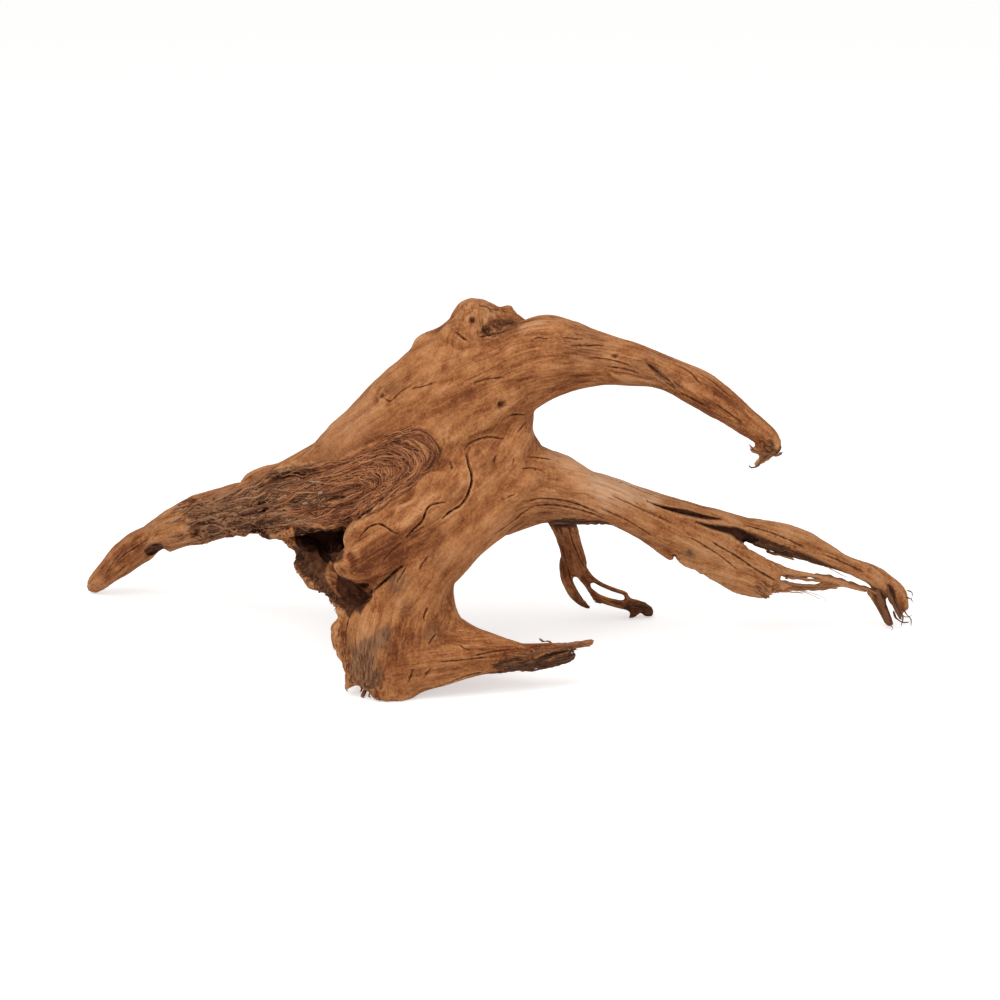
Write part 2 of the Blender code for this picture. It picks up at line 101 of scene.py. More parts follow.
def smoothLine(points, step):  # a rounded line through given points, evenly spaced
    p = np.array(points, float)
    p = np.vstack([2 * p[0] - p[1], p, 2 * p[-1] - p[-2]])
    fine = []
    for i in range(1, len(p) - 2):
        for t in np.linspace(0, 1, 16, endpoint=False):
            a, b, c, d = p[i - 1], p[i], p[i + 1], p[i + 2]
            fine.append(0.5 * (2 * b + (c - a) * t + (2 * a - 5 * b + 4 * c - d) * t**2
                               + (3 * b - a - 3 * c + d) * t**3))
    fine.append(p[-2])
    fine = np.array(fine)
    along = np.concatenate([[0], np.cumsum(np.linalg.norm(np.diff(fine, axis=0), axis=1))])
    count = max(3, int(round(along[-1] / step)) + 1)
    even = np.linspace(0, along[-1], count)
    return np.stack([np.interp(even, along, fine[:, k]) for k in range(fine.shape[1])], axis=1)


# camera and studio

def photoFrame():  # the camera's place, its focal length in pixels, and its directions ahead and up
    rise = math.radians(photo["elevation"])
    ahead = np.array([0, math.cos(rise), -math.sin(rise)])
    up = np.array([0, math.sin(rise), math.cos(rise)])
    focal = photo["lens"] / photo["sensor"] * photo["size"]
    return np.array(photo["target"]) - ahead * photo["distance"], focal, ahead, up


def makeCamera():
    tilt = math.pi / 2 - math.radians(photo["elevation"])
    bpy.ops.object.camera_add(location=Vector(photoFrame()[0]) * mm, rotation=(tilt, 0, 0))
    camera = bpy.context.object
    camera.name = "photoCamera"
    camera.data.lens = photo["lens"]
    camera.data.sensor_width = photo["sensor"]
    bpy.context.scene.camera = camera


def photoRay(x, y):  # the line of sight through a place in the photo
    spot, focal, ahead, up = photoFrame()
    half = photo["size"] / 2
    way = ahead + np.array([1, 0, 0]) * (x - half) / focal - up * (y - half) / focal
    return spot, unit(way)


def photoPoint(x, y, planeY):
    spot, way = photoRay(x, y)
    return spot + way * (planeY - spot[1]) / way[1]


def photoPlace(points):  # where points of the model show in the photo
    spot, focal, ahead, up = photoFrame()
    v = points - spot
    depth = v @ ahead
    half = photo["size"] / 2
    return np.stack([half + v[:, 0] / depth * focal, half - v @ up / depth * focal], axis=1)


def makeStudio():
    bpy.ops.mesh.primitive_plane_add(size=light["floorSize"], location=(0, 0, 0))
    floor = bpy.context.object
    floor.name = "studioFloor"
    paint = bpy.data.materials.new("paleFloor")
    paint.use_nodes = True
    tree = paint.node_tree
    shader = tree.nodes["Principled BSDF"]
    shader.inputs["Base Color"].default_value = (*light["floor"], 1)
    shader.inputs["Roughness"].default_value = 0.9
    shader.inputs["Specular IOR Level"].default_value = 0.1
    shader.inputs["Emission Color"].default_value = (1, 1, 1, 1)
    glow = times(tree, addNode(tree, "LightPath").outputs["Is Camera Ray"], light["floorGlow"])
    tree.links.new(glow, shader.inputs["Emission Strength"])
    floor.data.materials.append(paint)

    for name in ("key", "fill"):
        bpy.ops.object.light_add(type="AREA", location=Vector(light[name + "Place"]) * mm)
        lamp = bpy.context.object
        lamp.name = name + "Light"
        lamp.data.energy = light[name + "Power"]
        lamp.data.size = light["lampSize"]
        aim = Vector(photo["target"]) * mm - lamp.location
        lamp.rotation_euler = aim.to_track_quat("-Z", "Y").to_euler()

    world = bpy.data.worlds.new("studioSky")
    bpy.context.scene.world = world
    world.use_nodes = True
    tree = world.node_tree
    tree.nodes.clear()
    glow = addNode(tree, "Background", Color=(1, 1, 1, 1), Strength=light["sky"]).outputs[0]
    seen = addNode(tree, "Background", Color=(1, 1, 1, 1), Strength=light["backdrop"]).outputs[0]
    path = addNode(tree, "LightPath").outputs["Is Camera Ray"]
    mix = addNode(tree, "MixShader", i0=path, i1=glow, i2=seen).outputs[0]
    addNode(tree, "OutputWorld", Surface=mix)
    bpy.context.scene.view_settings.view_transform = "Standard"
    bpy.context.scene.view_settings.look = "None"


# the limbs that the grain follows: the set of coordinates, then x, y, z and radius
limbs = {
    "crest": ("A", [(-10, -24, 222, 12), (-10, -30, 196, 22), (-22, -32, 168, 28), (-56, -22, 144, 26),
        (-90, -4, 117, 24), (-128, 18, 93, 20), (-162, 36, 77, 17), (-184, 52, 66, 15), (-207, 70, 54, 12),
        (-228, 84, 38, 9), (-250, 97, 17, 7), (-266, 106, 0, 4)]),
    "spur": ("A", [(-56, -94, 15, 16), (-35, -94, 19, 13), (-12, -91, 22, 10), (12, -87, 22, 8),
        (33, -83, 23, 6), (62, -78, 27, 3)]),
    "arm": ("B", [(-90, -10, 110, 20), (-50, -25, 145, 26), (-10, -40, 175, 26), (30, -42, 193, 22),
        (58, -47, 195, 19), (91, -55, 191, 16), (114, -62, 184, 14), (138, -70, 171, 11), (161, -79, 156, 8),
        (171, -83, 146, 5)]),
    "branch": ("B", [(66, -26, 106, 12), (107, -17, 96, 11), (157, 0, 75, 10), (196, 14, 60, 9),
        (223, 24, 47, 7), (236, 28, 38, 5), (250, 32, 25, 4), (259, 34, 6, 3)]),
    "leg": ("C", [(-50, -75, 60, 20), (-20, -58, 100, 24), (6, -46, 118, 22), (42, -36, 112, 18),
        (66, -30, 104, 16), (94, -22, 88, 15), (119, -14, 73, 13), (145, -8, 62, 11), (170, -2, 52, 8),
        (182, 0, 40, 6)]),
    "foot": ("D", [(-8, -42, 150, 24), (-22, -58, 122, 26), (-40, -68, 90, 24), (-55, -76, 62, 20),
        (-62, -85, 35, 20), (-66, -95, 2, 20)]),
    "lobe": ("E", [(14, -42, 151, 20), (-12, -62, 122, 20), (-50, -80, 96, 18), (-90, -86, 74, 14)]),
    "hind": ("E", [(-4, -14, 157, 20), (8, -6, 131, 16), (32, 4, 103, 13), (45, 16, 76, 11), (51, 32, 53, 9),
        (54, 40, 37, 8), (66, 52, 17, 5), (102, 57, 4, 3)]),
}

grain = {
    "stretch": 0.115,  # how drawn out the grain is along a limb
    "blend": 6.5,  # how sharply one limb's grain gives way to the next
    "bend": 9.0,  # mm over which a limb's own bends are smoothed
    "meanRadius": 16.0,
    "apart": 37.0,  # keeps one limb's pattern from being the next one's
    "channels": "ABCDEF",
}
bandChannel = grain["channels"].index("F")  # the frayed band's own


def makeRoutes():
    routes = {}
    for name, (channel, points) in limbs.items():
        line = smoothLine(points, 4.0)
        centre, radius = line[:, :3], line[:, 3]
        tangent = unit(np.gradient(centre, axis=0))
        side = np.zeros_like(centre)
        start = np.cross(tangent[0], (0, 1, 0.3))
        side[0] = start / np.linalg.norm(start)
        for i in range(1, len(centre)):  # carried along without twist
            v = side[i - 1] - tangent[i] * (side[i - 1] @ tangent[i])
            side[i] = v / np.linalg.norm(v)
        along = np.concatenate([[0], np.cumsum(np.linalg.norm(np.diff(centre, axis=0), axis=1))])
        routes[name] = (channel, centre, tangent, side, np.cross(tangent, side), along, radius)
    return routes


def grainAt(points, routes):  # grain coordinates and weights by channel, and the grain's direction
    count = len(points)
    letters = grain["channels"]
    parts = []
    for k, (name, (channel, centre, tangent, side, other, along, radius)) in enumerate(routes.items()):
        d2 = ((points**2).sum(1)[:, None] + (centre**2).sum(1)[None] - 2 * points @ centre.T)
        near = d2.min(1, keepdims=True)
        w = np.exp(-(d2 - near) / (2 * grain["bend"]**2))
        w /= w.sum(1, keepdims=True)
        away = points - w @ centre
        r = w @ radius
        scale = np.sqrt(grain["meanRadius"] / r)
        place = np.stack([(w @ along) * grain["stretch"] + grain["apart"] * k,
                          (away * (w @ side)).sum(1) * scale, (away * (w @ other)).sum(1) * scale], axis=1)
        parts.append((letters.index(channel), place, w @ tangent, np.sqrt(np.maximum(near[:, 0], 0)) / r))
    q = np.stack([part[3] for part in parts])
    w = np.exp(-grain["blend"] * (q - q.min(0)))
    w /= w.sum(0)
    places = np.zeros((len(letters), count, 3))
    weights = np.zeros((len(letters), count))
    way = np.zeros((count, 3))
    for part, share in zip(parts, w):
        places[part[0]] += part[1] * share[:, None]
        weights[part[0]] += share
        way += part[2] * share[:, None]
    places /= np.maximum(weights, 1e-6)[:, :, None]
    return places, weights, unit(way)


# what the photo shows on the skin, as places in the photo

# cracks: width and depth in mm, then the line
crackLines = [
    (1.5, 3.4, [(466, 452), (469, 465), (472, 479), (468, 494), (461, 505), (451, 511), (442, 519)]),
    (1.2, 1.6, [(449, 460), (451, 465), (452, 469)]),
    (0.9, 1.5, [(465, 449), (471, 443), (480, 439), (490, 437), (505, 439)]),
    (1.0, 1.8, [(496, 454), (495, 459), (493, 466)]),
    (0.9, 1.4, [(514, 457), (512, 466)]),
    (0.8, 1.3, [(521, 469), (531, 468), (543, 471)]),
    (0.8, 1.2, [(528, 457), (540, 458), (552, 460)]),
    (0.8, 1.2, [(502, 501), (508, 497), (516, 494)]),
    (0.9, 1.7, [(524, 503), (540, 499), (560, 500), (580, 505), (598, 513)]),
    (0.8, 1.3, [(535, 506), (555, 505), (580, 510), (606, 519)]),
    (1.1, 2.0, [(493, 536), (510, 524), (522, 515), (533, 507)]),
    (1.2, 2.6, [(446, 502), (434, 504), (427, 509), (422, 521), (412, 531), (405, 539)]),
    (0.7, 1.0, [(403, 541), (392, 551), (382, 562)]),
    (1.1, 2.0, [(358, 538), (364, 531), (371, 526), (380, 524), (388, 528), (393, 532), (399, 534)]),
    (1.5, 2.2, [(404, 565), (396, 571), (387, 579), (375, 589), (362, 600)]),
    (0.7, 1.0, [(429, 555), (423, 563), (416, 573)]),
    (0.8, 1.2, [(407, 566), (400, 577), (396, 583)]),
    (1.1, 2.0, [(428, 607), (425, 613), (423, 621)]),
    (0.8, 1.4, [(437, 633), (432, 639), (428, 645)]),
    (0.8, 1.2, [(459, 645), (465, 648), (471, 650)]),
    (0.9, 1.4, [(413, 668), (411, 676), (408, 684)]),
    (0.8, 1.2, [(431, 668), (426, 675), (423, 679)]),
    (1.3, 2.2, [(478, 305), (488, 307), (500, 311)]),
    (1.1, 2.0, [(456, 331), (461, 336), (468, 341)]),
    (1.4, 2.6, [(478, 337), (492, 334), (503, 331), (514, 328), (522, 324)]),
    (0.9, 1.5, [(507, 417), (515, 415), (526, 415)]),
    (0.8, 1.2, [(531, 341), (538, 337), (548, 339)]),
    (0.9, 1.7, [(560, 337), (570, 338), (582, 339)]),
    (0.8, 1.5, [(569, 346), (585, 345), (604, 345)]),
    (0.7, 1.1, [(516, 434), (521, 428), (527, 421)]),
    (1.0, 1.8, [(645, 362), (654, 369), (662, 375), (670, 382), (677, 392)]),
    (1.0, 1.6, [(679, 393), (687, 396), (697, 401), (712, 410)]),
    (0.9, 1.4, [(671, 361), (682, 367), (692, 374), (702, 386)]),
    (0.8, 1.2, [(606, 366), (625, 369), (640, 374)]),
    (0.7, 1.0, [(590, 357), (612, 360), (632, 366)]),
    (0.8, 1.3, [(700, 374), (716, 384), (732, 397)]),
    (0.7, 1.1, [(716, 404), (730, 414), (742, 423)]),
    (1.3, 2.4, [(645, 500), (655, 504), (666, 508), (678, 512), (694, 515), (708, 518)]),
    (1.3, 2.4, [(711, 541), (722, 548), (737, 557), (750, 566), (765, 575), (778, 582)]),
    (0.8, 1.3, [(604, 476), (630, 486), (655, 496)]),
    (0.7, 1.1, [(610, 495), (640, 508), (672, 523)]),
    (0.7, 1.1, [(600, 508), (626, 520), (652, 536)]),
    (0.7, 1.1, [(690, 537), (716, 553), (738, 570)]),
    (0.8, 1.3, [(745, 525), (775, 534), (806, 548)]),
    (0.7, 1.2, [(820, 553), (842, 562), (866, 573)]),
    (1.4, 2.2, [(425, 690), (438, 686), (450, 682), (466, 676), (482, 672)]),
    (0.8, 1.4, [(470, 657), (490, 652), (512, 649)]),
    (0.9, 1.6, [(492, 668), (508, 661), (524, 656)]),
    (0.8, 1.3, [(440, 662), (462, 660), (488, 657)]),
    (1.0, 1.8, [(562, 548), (565, 562), (570, 577), (577, 590)]),
    (0.8, 1.4, [(570, 530), (575, 546), (584, 566), (596, 583)]),
    (1.2, 1.8, [(400, 437), (410, 440), (418, 446), (424, 454)]),
    (0.8, 1.2, [(383, 396), (390, 401), (401, 391), (412, 385)]),
    (0.7, 1.1, [(470, 384), (486, 379), (505, 377)]),
    (0.7, 1.0, [(437, 381), (424, 386), (410, 389)]),
    (0.8, 1.2, [(118, 560), (128, 552), (140, 545)]),
    (0.7, 1.0, [(105, 575), (113, 563), (124, 549)]),
]

# soft patches: x, y, reach, then strength, or height in mm for ragged and folds
patches = {
    "grey": [(300, 498, 30, 0.8), (268, 510, 26, 0.8), (225, 515, 30, 0.6), (367, 652, 20, 0.4),
        (372, 676, 16, 0.4), (397, 583, 14, 0.3), (432, 631, 12, 0.3), (440, 560, 12, 0.35),
        (392, 387, 12, 0.45), (585, 345, 30, 0.35), (640, 372, 22, 0.3), (150, 520, 14, 0.35),
        (660, 380, 12, 0.45), (330, 452, 22, 0.2), (560, 512, 26, 0.25), (700, 430, 16, 0.2),
        (408, 605, 10, 0.4)],
    "rot": [(487, 329, 16, 1.0), (472, 320, 6, 1.0), (505, 325, 13, 0.9), (440, 530, 16, 0.6),
        (452, 490, 14, 0.5), (482, 462, 20, 0.45), (470, 340, 8, 0.5), (616, 356, 7, 0.8), (450, 463, 7, 0.8),
        (672, 384, 12, 0.7), (154, 549, 16, 0.9), (347, 603, 14, 0.9), (362, 598, 9, 0.7),
        (430, 545, 12, 0.45), (190, 503, 9, 0.7), (545, 443, 9, 0.5), (447, 440, 8, 0.3)],
    # shade: tone shifts that add up; the lighter ones, such as on the top of the leg, are painted light, the
    # darker ones on the lobe, spur, arm's end, hind leg and other undersides are painted shade, both mixed
    # with the wood's own tone
    "shade": [(375, 560, 34, -0.8), (402, 545, 26, -0.7), (352, 585, 26, -0.6), (425, 528, 18, -0.4),
        (560, 362, 46, -0.2), (600, 350, 34, -0.1), (715, 405, 36, -0.5), (755, 435, 30, -0.5),
        (470, 415, 40, -0.3), (640, 355, 26, -0.3), (415, 650, 36, -0.3), (385, 680, 28, -0.4),
        (520, 655, 32, -0.6), (565, 652, 34, -0.6), (480, 655, 26, -0.3), (130, 565, 40, -0.25),
        (568, 560, 36, -0.7), (600, 595, 34, -0.7), (640, 608, 24, -0.6), (600, 474, 34, 1.0),
        (640, 487, 28, 0.7), (566, 458, 20, 0.6), (580, 465, 14, 0.5), (715, 557, 36, 0.4),
        (760, 576, 26, 0.3), (790, 537, 36, 0.1), (122, 556, 13, -0.5), (108, 574, 11, -0.4),
        (138, 541, 13, -0.4), (480, 560, 40, 0.2), (350, 420, 40, 0.15), (445, 330, 22, -0.3),
        (500, 315, 20, -0.25), (445, 545, 34, -0.2), (452, 490, 22, -0.2)],
    "ragged": [(540, 662, 26, 0.9), (505, 664, 18, 0.6), (572, 650, 16, 0.5), (352, 670, 20, 0.7),
        (372, 690, 16, 0.8), (334, 625, 14, 0.7), (335, 645, 14, 0.6), (300, 565, 18, 1.6),
        (318, 588, 16, 1.6), (330, 602, 12, 1.4), (350, 600, 16, 1.0), (372, 595, 10, 0.6),
        (285, 538, 16, 1.5), (255, 535, 14, 1.6), (225, 538, 14, 1.2), (203, 543, 12, 1.2),
        (190, 500, 10, 0.8), (490, 328, 14, 1.0), (510, 315, 14, 0.5), (770, 590, 12, 1.0),
        (675, 556, 8, 0.8), (702, 572, 8, 0.7), (640, 608, 16, 0.7), (590, 598, 12, 0.8), (780, 552, 24, 0.6),
        (740, 538, 18, 0.6), (765, 445, 12, 0.7), (668, 384, 12, 0.5), (575, 523, 18, 0.6)],
    "folds": [(322, 558, 34, 2.4), (350, 600, 18, 1.4), (382, 395, 16, 0.9), (487, 322, 24, 0.9),
        (470, 470, 26, 0.6)],
    # pale: bleached wood; the wide marks on the top of the leg also stand for the light falling there, as
    # painted light
    "pale": [(541, 323, 3.0, 1.0), (523, 329, 3.5, 0.7), (613, 480, 34, 0.9), (650, 492, 24, 0.5),
        (575, 462, 20, 0.45), (560, 455, 18, 0.35), (350, 420, 34, 0.12), (490, 312, 10, 0.2),
        (659, 357, 3, 0.6)],
}

# knots: x, y, radius and depth in mm, and whether rings run round it
knots = [
    (501, 404, 1.5, 2.4, True),
    (472, 320, 1.7, 2.6, True),
    (487, 331, 2.2, 1.6, True),
    (689, 552, 1.5, 0.8, True),
    (615, 356, 1.3, 0.8, True),
    (382, 396, 1.7, 1.2, True),
    (674, 555, 1.4, 1.6, False),
    (751, 441, 1.6, 1.8, False),
    (192, 504, 3.0, 1.8, True),
]

# weathered grey with a clear edge: outline and strength
stains = {
    "foot": ([(347, 642), (356, 645), (367, 637), (376, 634), (382, 627), (388, 625), (391, 634), (388, 643),
        (378, 651), (372, 661), (376, 668), (384, 672), (382, 681), (374, 688), (364, 687), (354, 681),
        (349, 668), (352, 655)], 0.95),
    "underLobe": ([(392, 574), (404, 572), (411, 580), (404, 590), (394, 594), (385, 588)], 0.6),
    "flap": ([(683, 549), (690, 546), (695, 550), (694, 556), (686, 557)], 0.9),
    "front": ([(425, 627), (436, 622), (442, 630), (434, 639), (424, 641)], 0.5),
}

# places where light shows past the wood, which never overlap
gaps = {
    "legWedge": [(736, 537), (745, 540), (755, 544), (770, 549.5), (787, 555), (800, 560), (817, 564.5),
        (832, 568.5), (850, 574), (868, 583), (876, 591), (869, 591), (855, 585), (837, 578.5), (812, 573),
        (795, 570), (785, 567), (770, 561), (759, 555), (749, 549.5), (740, 543)],
    "legSliver": [(801, 576.5), (812, 577), (826, 581), (815, 584.5), (804, 582)],
    "legFingers": [(885.5, 597), (888, 608), (891.5, 618), (896, 632), (901, 632), (899, 619), (895, 608),
        (891, 597)],
    "legOuterFingers": [(903, 606), (905, 613), (906, 621), (910, 621), (909, 612), (906.5, 605)],
    "hollowRim": [(268, 552), (277, 546), (285, 547), (292, 545), (293, 550), (298, 553), (296, 558),
        (290, 564), (294, 569), (301, 574), (302, 579), (308, 587), (318, 590), (330, 594), (330, 600),
        (333, 603), (334, 611), (340, 617), (334, 623), (327, 628), (312, 626), (300, 600), (280, 575)],
    "footEdge": [(322, 636), (330, 638), (331, 644), (336, 651), (336, 657), (343, 662), (343, 668),
        (347, 672), (344, 680), (340, 690), (318, 670)],
    "footCorner": [(347, 694), (350, 686), (361, 684), (364, 689), (370, 691), (373, 698), (377, 704),
        (372, 712), (350, 706)],
    "spurCleft": [(560, 652), (573, 648.5), (594, 646), (602, 650), (590, 658), (576, 654), (568, 653.5)],
    "hindSlit": [(573, 573), (578, 578), (584, 585), (590, 594), (595, 603), (594, 611), (588, 604),
        (580, 595), (574, 585), (571, 577)],
    "hindSlitLong": [(590, 580.5), (600, 586.4), (612, 591.6), (626, 595.8), (625.5, 600.6), (611, 598.2),
        (598, 593.4), (590, 587)],
    "shelfNotch": [(243, 544), (246, 536), (252, 531.5), (258, 533), (264, 536), (268, 541), (262, 546)],
    "shelfNotchOuter": [(212, 546), (214, 540.5), (224, 538), (234, 539), (230, 546)],
    "clawNotch": [(148, 566), (150, 560), (157, 553), (162, 549), (170, 548), (166, 556), (156, 566)],
    "flapNotch": [(671, 562), (673, 554.5), (676, 553), (678, 559), (684, 566), (678, 568)],
    "flapStep": [(692, 575), (694, 567), (700, 573.5), (707, 573), (704, 582)],
}

# dents, or ridges where the depth is below 0: outline, depth in mm, softness of the edge in pixels, and
# darkness, the painted shade in the dent
dents = {
    "legSlit": ([(648, 502), (662, 505.5), (676, 508), (690, 510.5), (705, 514.5), (724, 519.5), (712, 520),
        (700, 518.5), (688, 516), (674, 512), (660, 507.5)], 2.6, 1.2, 0.95),
    "legWedge": ([(688, 518.5), (705, 523), (722, 525), (738, 527), (750, 533), (760, 540), (750, 544),
        (738, 541), (730, 535), (713, 530), (700, 525)], 4.5, 2.5, 0.95),
    "branchUnder": ([(738, 528), (755, 533), (775, 541.5), (800, 551), (825, 562), (850, 575), (866, 584),
        (868, 588), (850, 579), (832, 573), (817, 569), (800, 565), (787, 560), (770, 555), (755, 549),
        (744, 545)], 1.6, 3.0, 0.82),
    "shelfPit": ([(252, 499), (260, 494), (268, 500), (266, 512), (258, 518), (252, 512)], 4.5, 3.0, 0.95),
    "shelfPitSmall": ([(268, 486), (276, 482), (280, 488), (274, 494), (267, 492)], 2.5, 2.0, 0.7),
    "shelfGap": ([(248, 524), (256, 526), (266, 532), (272, 541), (262, 540), (250, 534)], 3.0, 2.0, 0.97),
    "underFold": ([(318, 500), (334, 497), (352, 499), (366, 497), (362, 505), (344, 508), (330, 506),
        (318, 507)], 2.2, 2.5, 0.6),
    "underFoldLow": ([(300, 517), (322, 512), (346, 515), (344, 519), (322, 517), (304, 521)], 1.6, 2.0,
        0.55),
    "shelfGroove": ([(196, 512), (212, 509), (232, 506), (232, 512), (214, 516), (198, 518)], 2.0, 3.0, 0.5),
    "rimShade": ([(212, 503), (236, 493), (262, 483), (277, 472), (300, 468), (334, 468), (358, 456),
        (372, 450), (372, 454), (358, 461), (334, 472), (300, 473), (280, 478), (264, 488), (238, 498),
        (214, 508)], 2.0, 2.5, 0.6),
    "clawHole": ([(143, 550), (149, 545), (157, 542), (164, 545), (162, 550), (154, 555), (147, 556)], 3.2,
        2.5, 0.75),
    "hollowTop": ([(292, 527), (302, 526), (316, 527.5), (335, 529.5), (345, 530), (342, 538), (338, 550),
        (330, 556), (318, 552), (306, 554), (296, 544)], 3.0, 3.0, 0.98),
    "hollowWall": ([(292, 545), (306, 548), (330, 546), (344, 550), (340, 562), (330, 566), (326, 576),
        (332, 588), (340, 596), (349, 599), (356, 594), (362, 600), (371, 601), (364, 606), (361, 616),
        (356, 612), (349, 619), (344, 611), (334, 602), (318, 588), (302, 575), (294, 560)], 0.8, 2.5, 0.84),
    "pocketShade": ([(337, 573), (345, 577), (354, 581), (363, 588), (371, 597), (364, 603), (352, 605),
        (343, 600), (336, 590)], 1.6, 2.5, 0.82),
    "lowerRim": ([(296, 566), (304, 572), (320, 588), (334, 601), (346, 612), (340, 616), (330, 606),
        (312, 592), (300, 578)], -1.0, 3.0, 0.0),
    "armFlake": ([(606, 371), (630, 374), (648, 379), (664, 385), (675, 392), (670, 396), (655, 394),
        (636, 387), (616, 379)], -2.0, 2.5, 0.0),
    "bandRim": ([(196, 497), (214, 499), (236, 489), (262, 478), (276, 466), (300, 462), (330, 461),
        (352, 450), (378, 440), (402, 433), (402, 437), (378, 446), (352, 456), (330, 466), (300, 467),
        (278, 471), (264, 483), (236, 494), (214, 504), (198, 502)], -1.4, 3.0, 0.0),
    "armGroove": ([(645, 361), (655, 366), (664, 373), (674, 384), (677, 390), (669, 387), (660, 379),
        (650, 370)], 1.3, 2.5, 0.35),
    "frontCleft": ([(362, 599), (370, 591), (380, 583), (392, 573), (402, 566), (399, 572), (387, 582),
        (374, 593)], 2.0, 4.0, 0.5),
    "knobRot": ([(478, 334), (486, 322), (500, 318), (514, 322), (520, 328), (506, 333), (492, 338)], 1.4,
        3.0, 0.3),
    "fingerSlit": ([(886, 583), (893, 586), (897, 596), (896, 604), (891, 598)], 1.8, 1.5, 0.8),
    "spurUnder": ([(428, 691), (450, 684), (480, 674), (505, 668), (530, 662), (573, 657), (566, 666),
        (520, 673), (480, 676), (450, 686)], 0.8, 4.0, 0.7),
    "spurGap": ([(532, 660), (548, 653), (566, 649), (568, 652), (552, 657), (538, 663)], 2.4, 1.5, 0.9),
    "rootPlate": ([(548, 521), (560, 519), (580, 519), (600, 521), (600, 527), (575, 528), (550, 527)], 1.0,
        2.0, 0.92),
    # hindToes and legFinger are painted shade alone, with no dent
    "hindToes": ([(628, 600), (645, 602), (656, 608), (656, 622), (626, 622), (624, 606)], 0.0, 4.0, 0.6),
    "hindHeel": ([(575, 590), (584, 594), (592, 604), (590, 612), (580, 606), (572, 598)], 0.3, 4.0, 0.5),
    "legFinger": ([(872, 588), (884, 590), (888, 602), (897, 630), (880, 632), (874, 606)], 0.0, 3.0, 0.62),
}

# the frayed band: its two rims along the fibres, and its outline
bandOuter = [
    (186, 512), (198, 505), (215, 503), (245, 491), (272, 474), (300, 468), (335, 463), (360, 454),
    (390, 441), (408, 439), (422, 447), (427, 459), (420, 473), (405, 486), (388, 497), (365, 511),
    (342, 522), (312, 523), (285, 527), (262, 533), (235, 535), (200, 540),
]
bandInner = [
    (188, 521), (200, 518), (215, 516), (245, 511), (272, 503), (300, 495), (335, 487), (350, 483),
    (360, 480), (367, 481), (370, 484), (370, 487), (366, 490), (358, 494), (348, 498), (338, 502),
    (322, 506), (305, 509), (290, 511), (268, 515), (240, 519), (202, 523),
]
bandEdge = [
    (180, 497), (195, 504), (208, 502), (230, 498), (246, 490), (260, 482), (272, 473), (290, 466),
    (310, 467), (326, 466), (340, 460), (360, 452), (370, 448), (390, 439), (402, 436), (416, 442),
    (428, 454), (427, 464), (421, 474), (411, 484), (399, 492), (381, 500), (371, 512), (355, 520),
    (350, 530), (326, 529), (306, 527), (293, 530), (270, 538), (250, 534), (240, 541), (210, 542),
    (184, 546),
]
bandBox = [(170, 425), (440, 555)]  # corners of the part of the photo that holds it

body = {
    "voxel": 1.42,
    "smoothing": 3,
    "cutReach": 140,  # mm before and behind the middle that the gaps are cut through
    "plainFaces": 116000,  # triangles before the fine places are split
    "fineReach": 2.6,  # mm on each side of a crack where the mesh is finer
    "lumps": 1.0,  # heights in mm, from here to fray
    "ridges": 0.6,
    "fineRidges": 0.17,
    "dimples": 0.22,
    "fray": 1.5,
    "tufts": 2.2,  # the band's coarser ups and downs
    "bandSunk": 2.0,  # mm that the band lies below its rims
    "hiddenBy": 4.0,  # mm nearer that other wood is where it hides a place from the camera
    "crackWidth": 0.6,
    "crackReach": 4.5,
    "crackApart": 9,  # mm between cracks that share one set of values on the mesh
    "noCrack": 4.0,  # half widths away, where no crack is near
    "dentShare": 0.55,  # the most of the wood's thickness that a dent takes
    "checks": 110,  # small splits along the grain, all round
    "frontChecks": 0.3,  # share of them kept on the side that the photo shows
    "frontLength": 14,
    "checkLengths": (7, 10, 14, 18, 26, 36),
    "checkSeed": 11,
    "mostDepth": 20.0,  # mm of wood, past which a place counts as thick
    "openRays": 14,
    "openReach": 45.0,
    "openSeed": 5,
}


def inPolygon(points, corners):
    inside = np.zeros(len(points), bool)
    c = np.array(corners, float)
    x, y = points[:, 0], points[:, 1]
    for (x1, y1), (x2, y2) in zip(c, np.roll(c, -1, axis=0)):
        crosses = (y1 > y) != (y2 > y)
        inside ^= crosses & (x < (x2 - x1) * (y - y1) / (y2 - y1 + 1e-12) + x1)
    return inside


def edgeDistance(points, line):  # distance to an open line in the photo, and how far along it is
    a, b = line[:-1], line[1:]
    best = np.full(len(points), 1e9)
    where = np.zeros(len(points))
    lengths = np.linalg.norm(b - a, axis=1)
    starts = np.concatenate([[0], np.cumsum(lengths)])
    for i in range(len(a)):
        t = np.clip(((points - a[i]) @ (b[i] - a[i])) / max(lengths[i]**2, 1e-9), 0, 1)
        d = np.linalg.norm(points - a[i] - t[:, None] * (b[i] - a[i]), axis=1)
        closer = d < best
        best[closer] = d[closer]
        where[closer] = starts[i] + t[closer] * lengths[i]
    return best, where


def closeTo(points, line, reach):  # the points in a box round a line
    low, high = line.min(0) - reach, line.max(0) + reach
    return np.nonzero(((points > low) & (points < high)).all(1))[0]


def readMesh(mesh):
    count = len(mesh.vertices)
    points, normals = np.zeros(count * 3), np.zeros(count * 3)
    mesh.vertices.foreach_get("co", points)
    mesh.vertices.foreach_get("normal", normals)
    edges = np.zeros(len(mesh.edges) * 2, int)
    mesh.edges.foreach_get("vertices", edges)
    return points.reshape(-1, 3) / mm, normals.reshape(-1, 3), edges.reshape(-1, 2)


def writePoints(mesh, points):
    mesh.vertices.foreach_set("co", (points * mm).astype(np.float32).ravel())
    mesh.update()


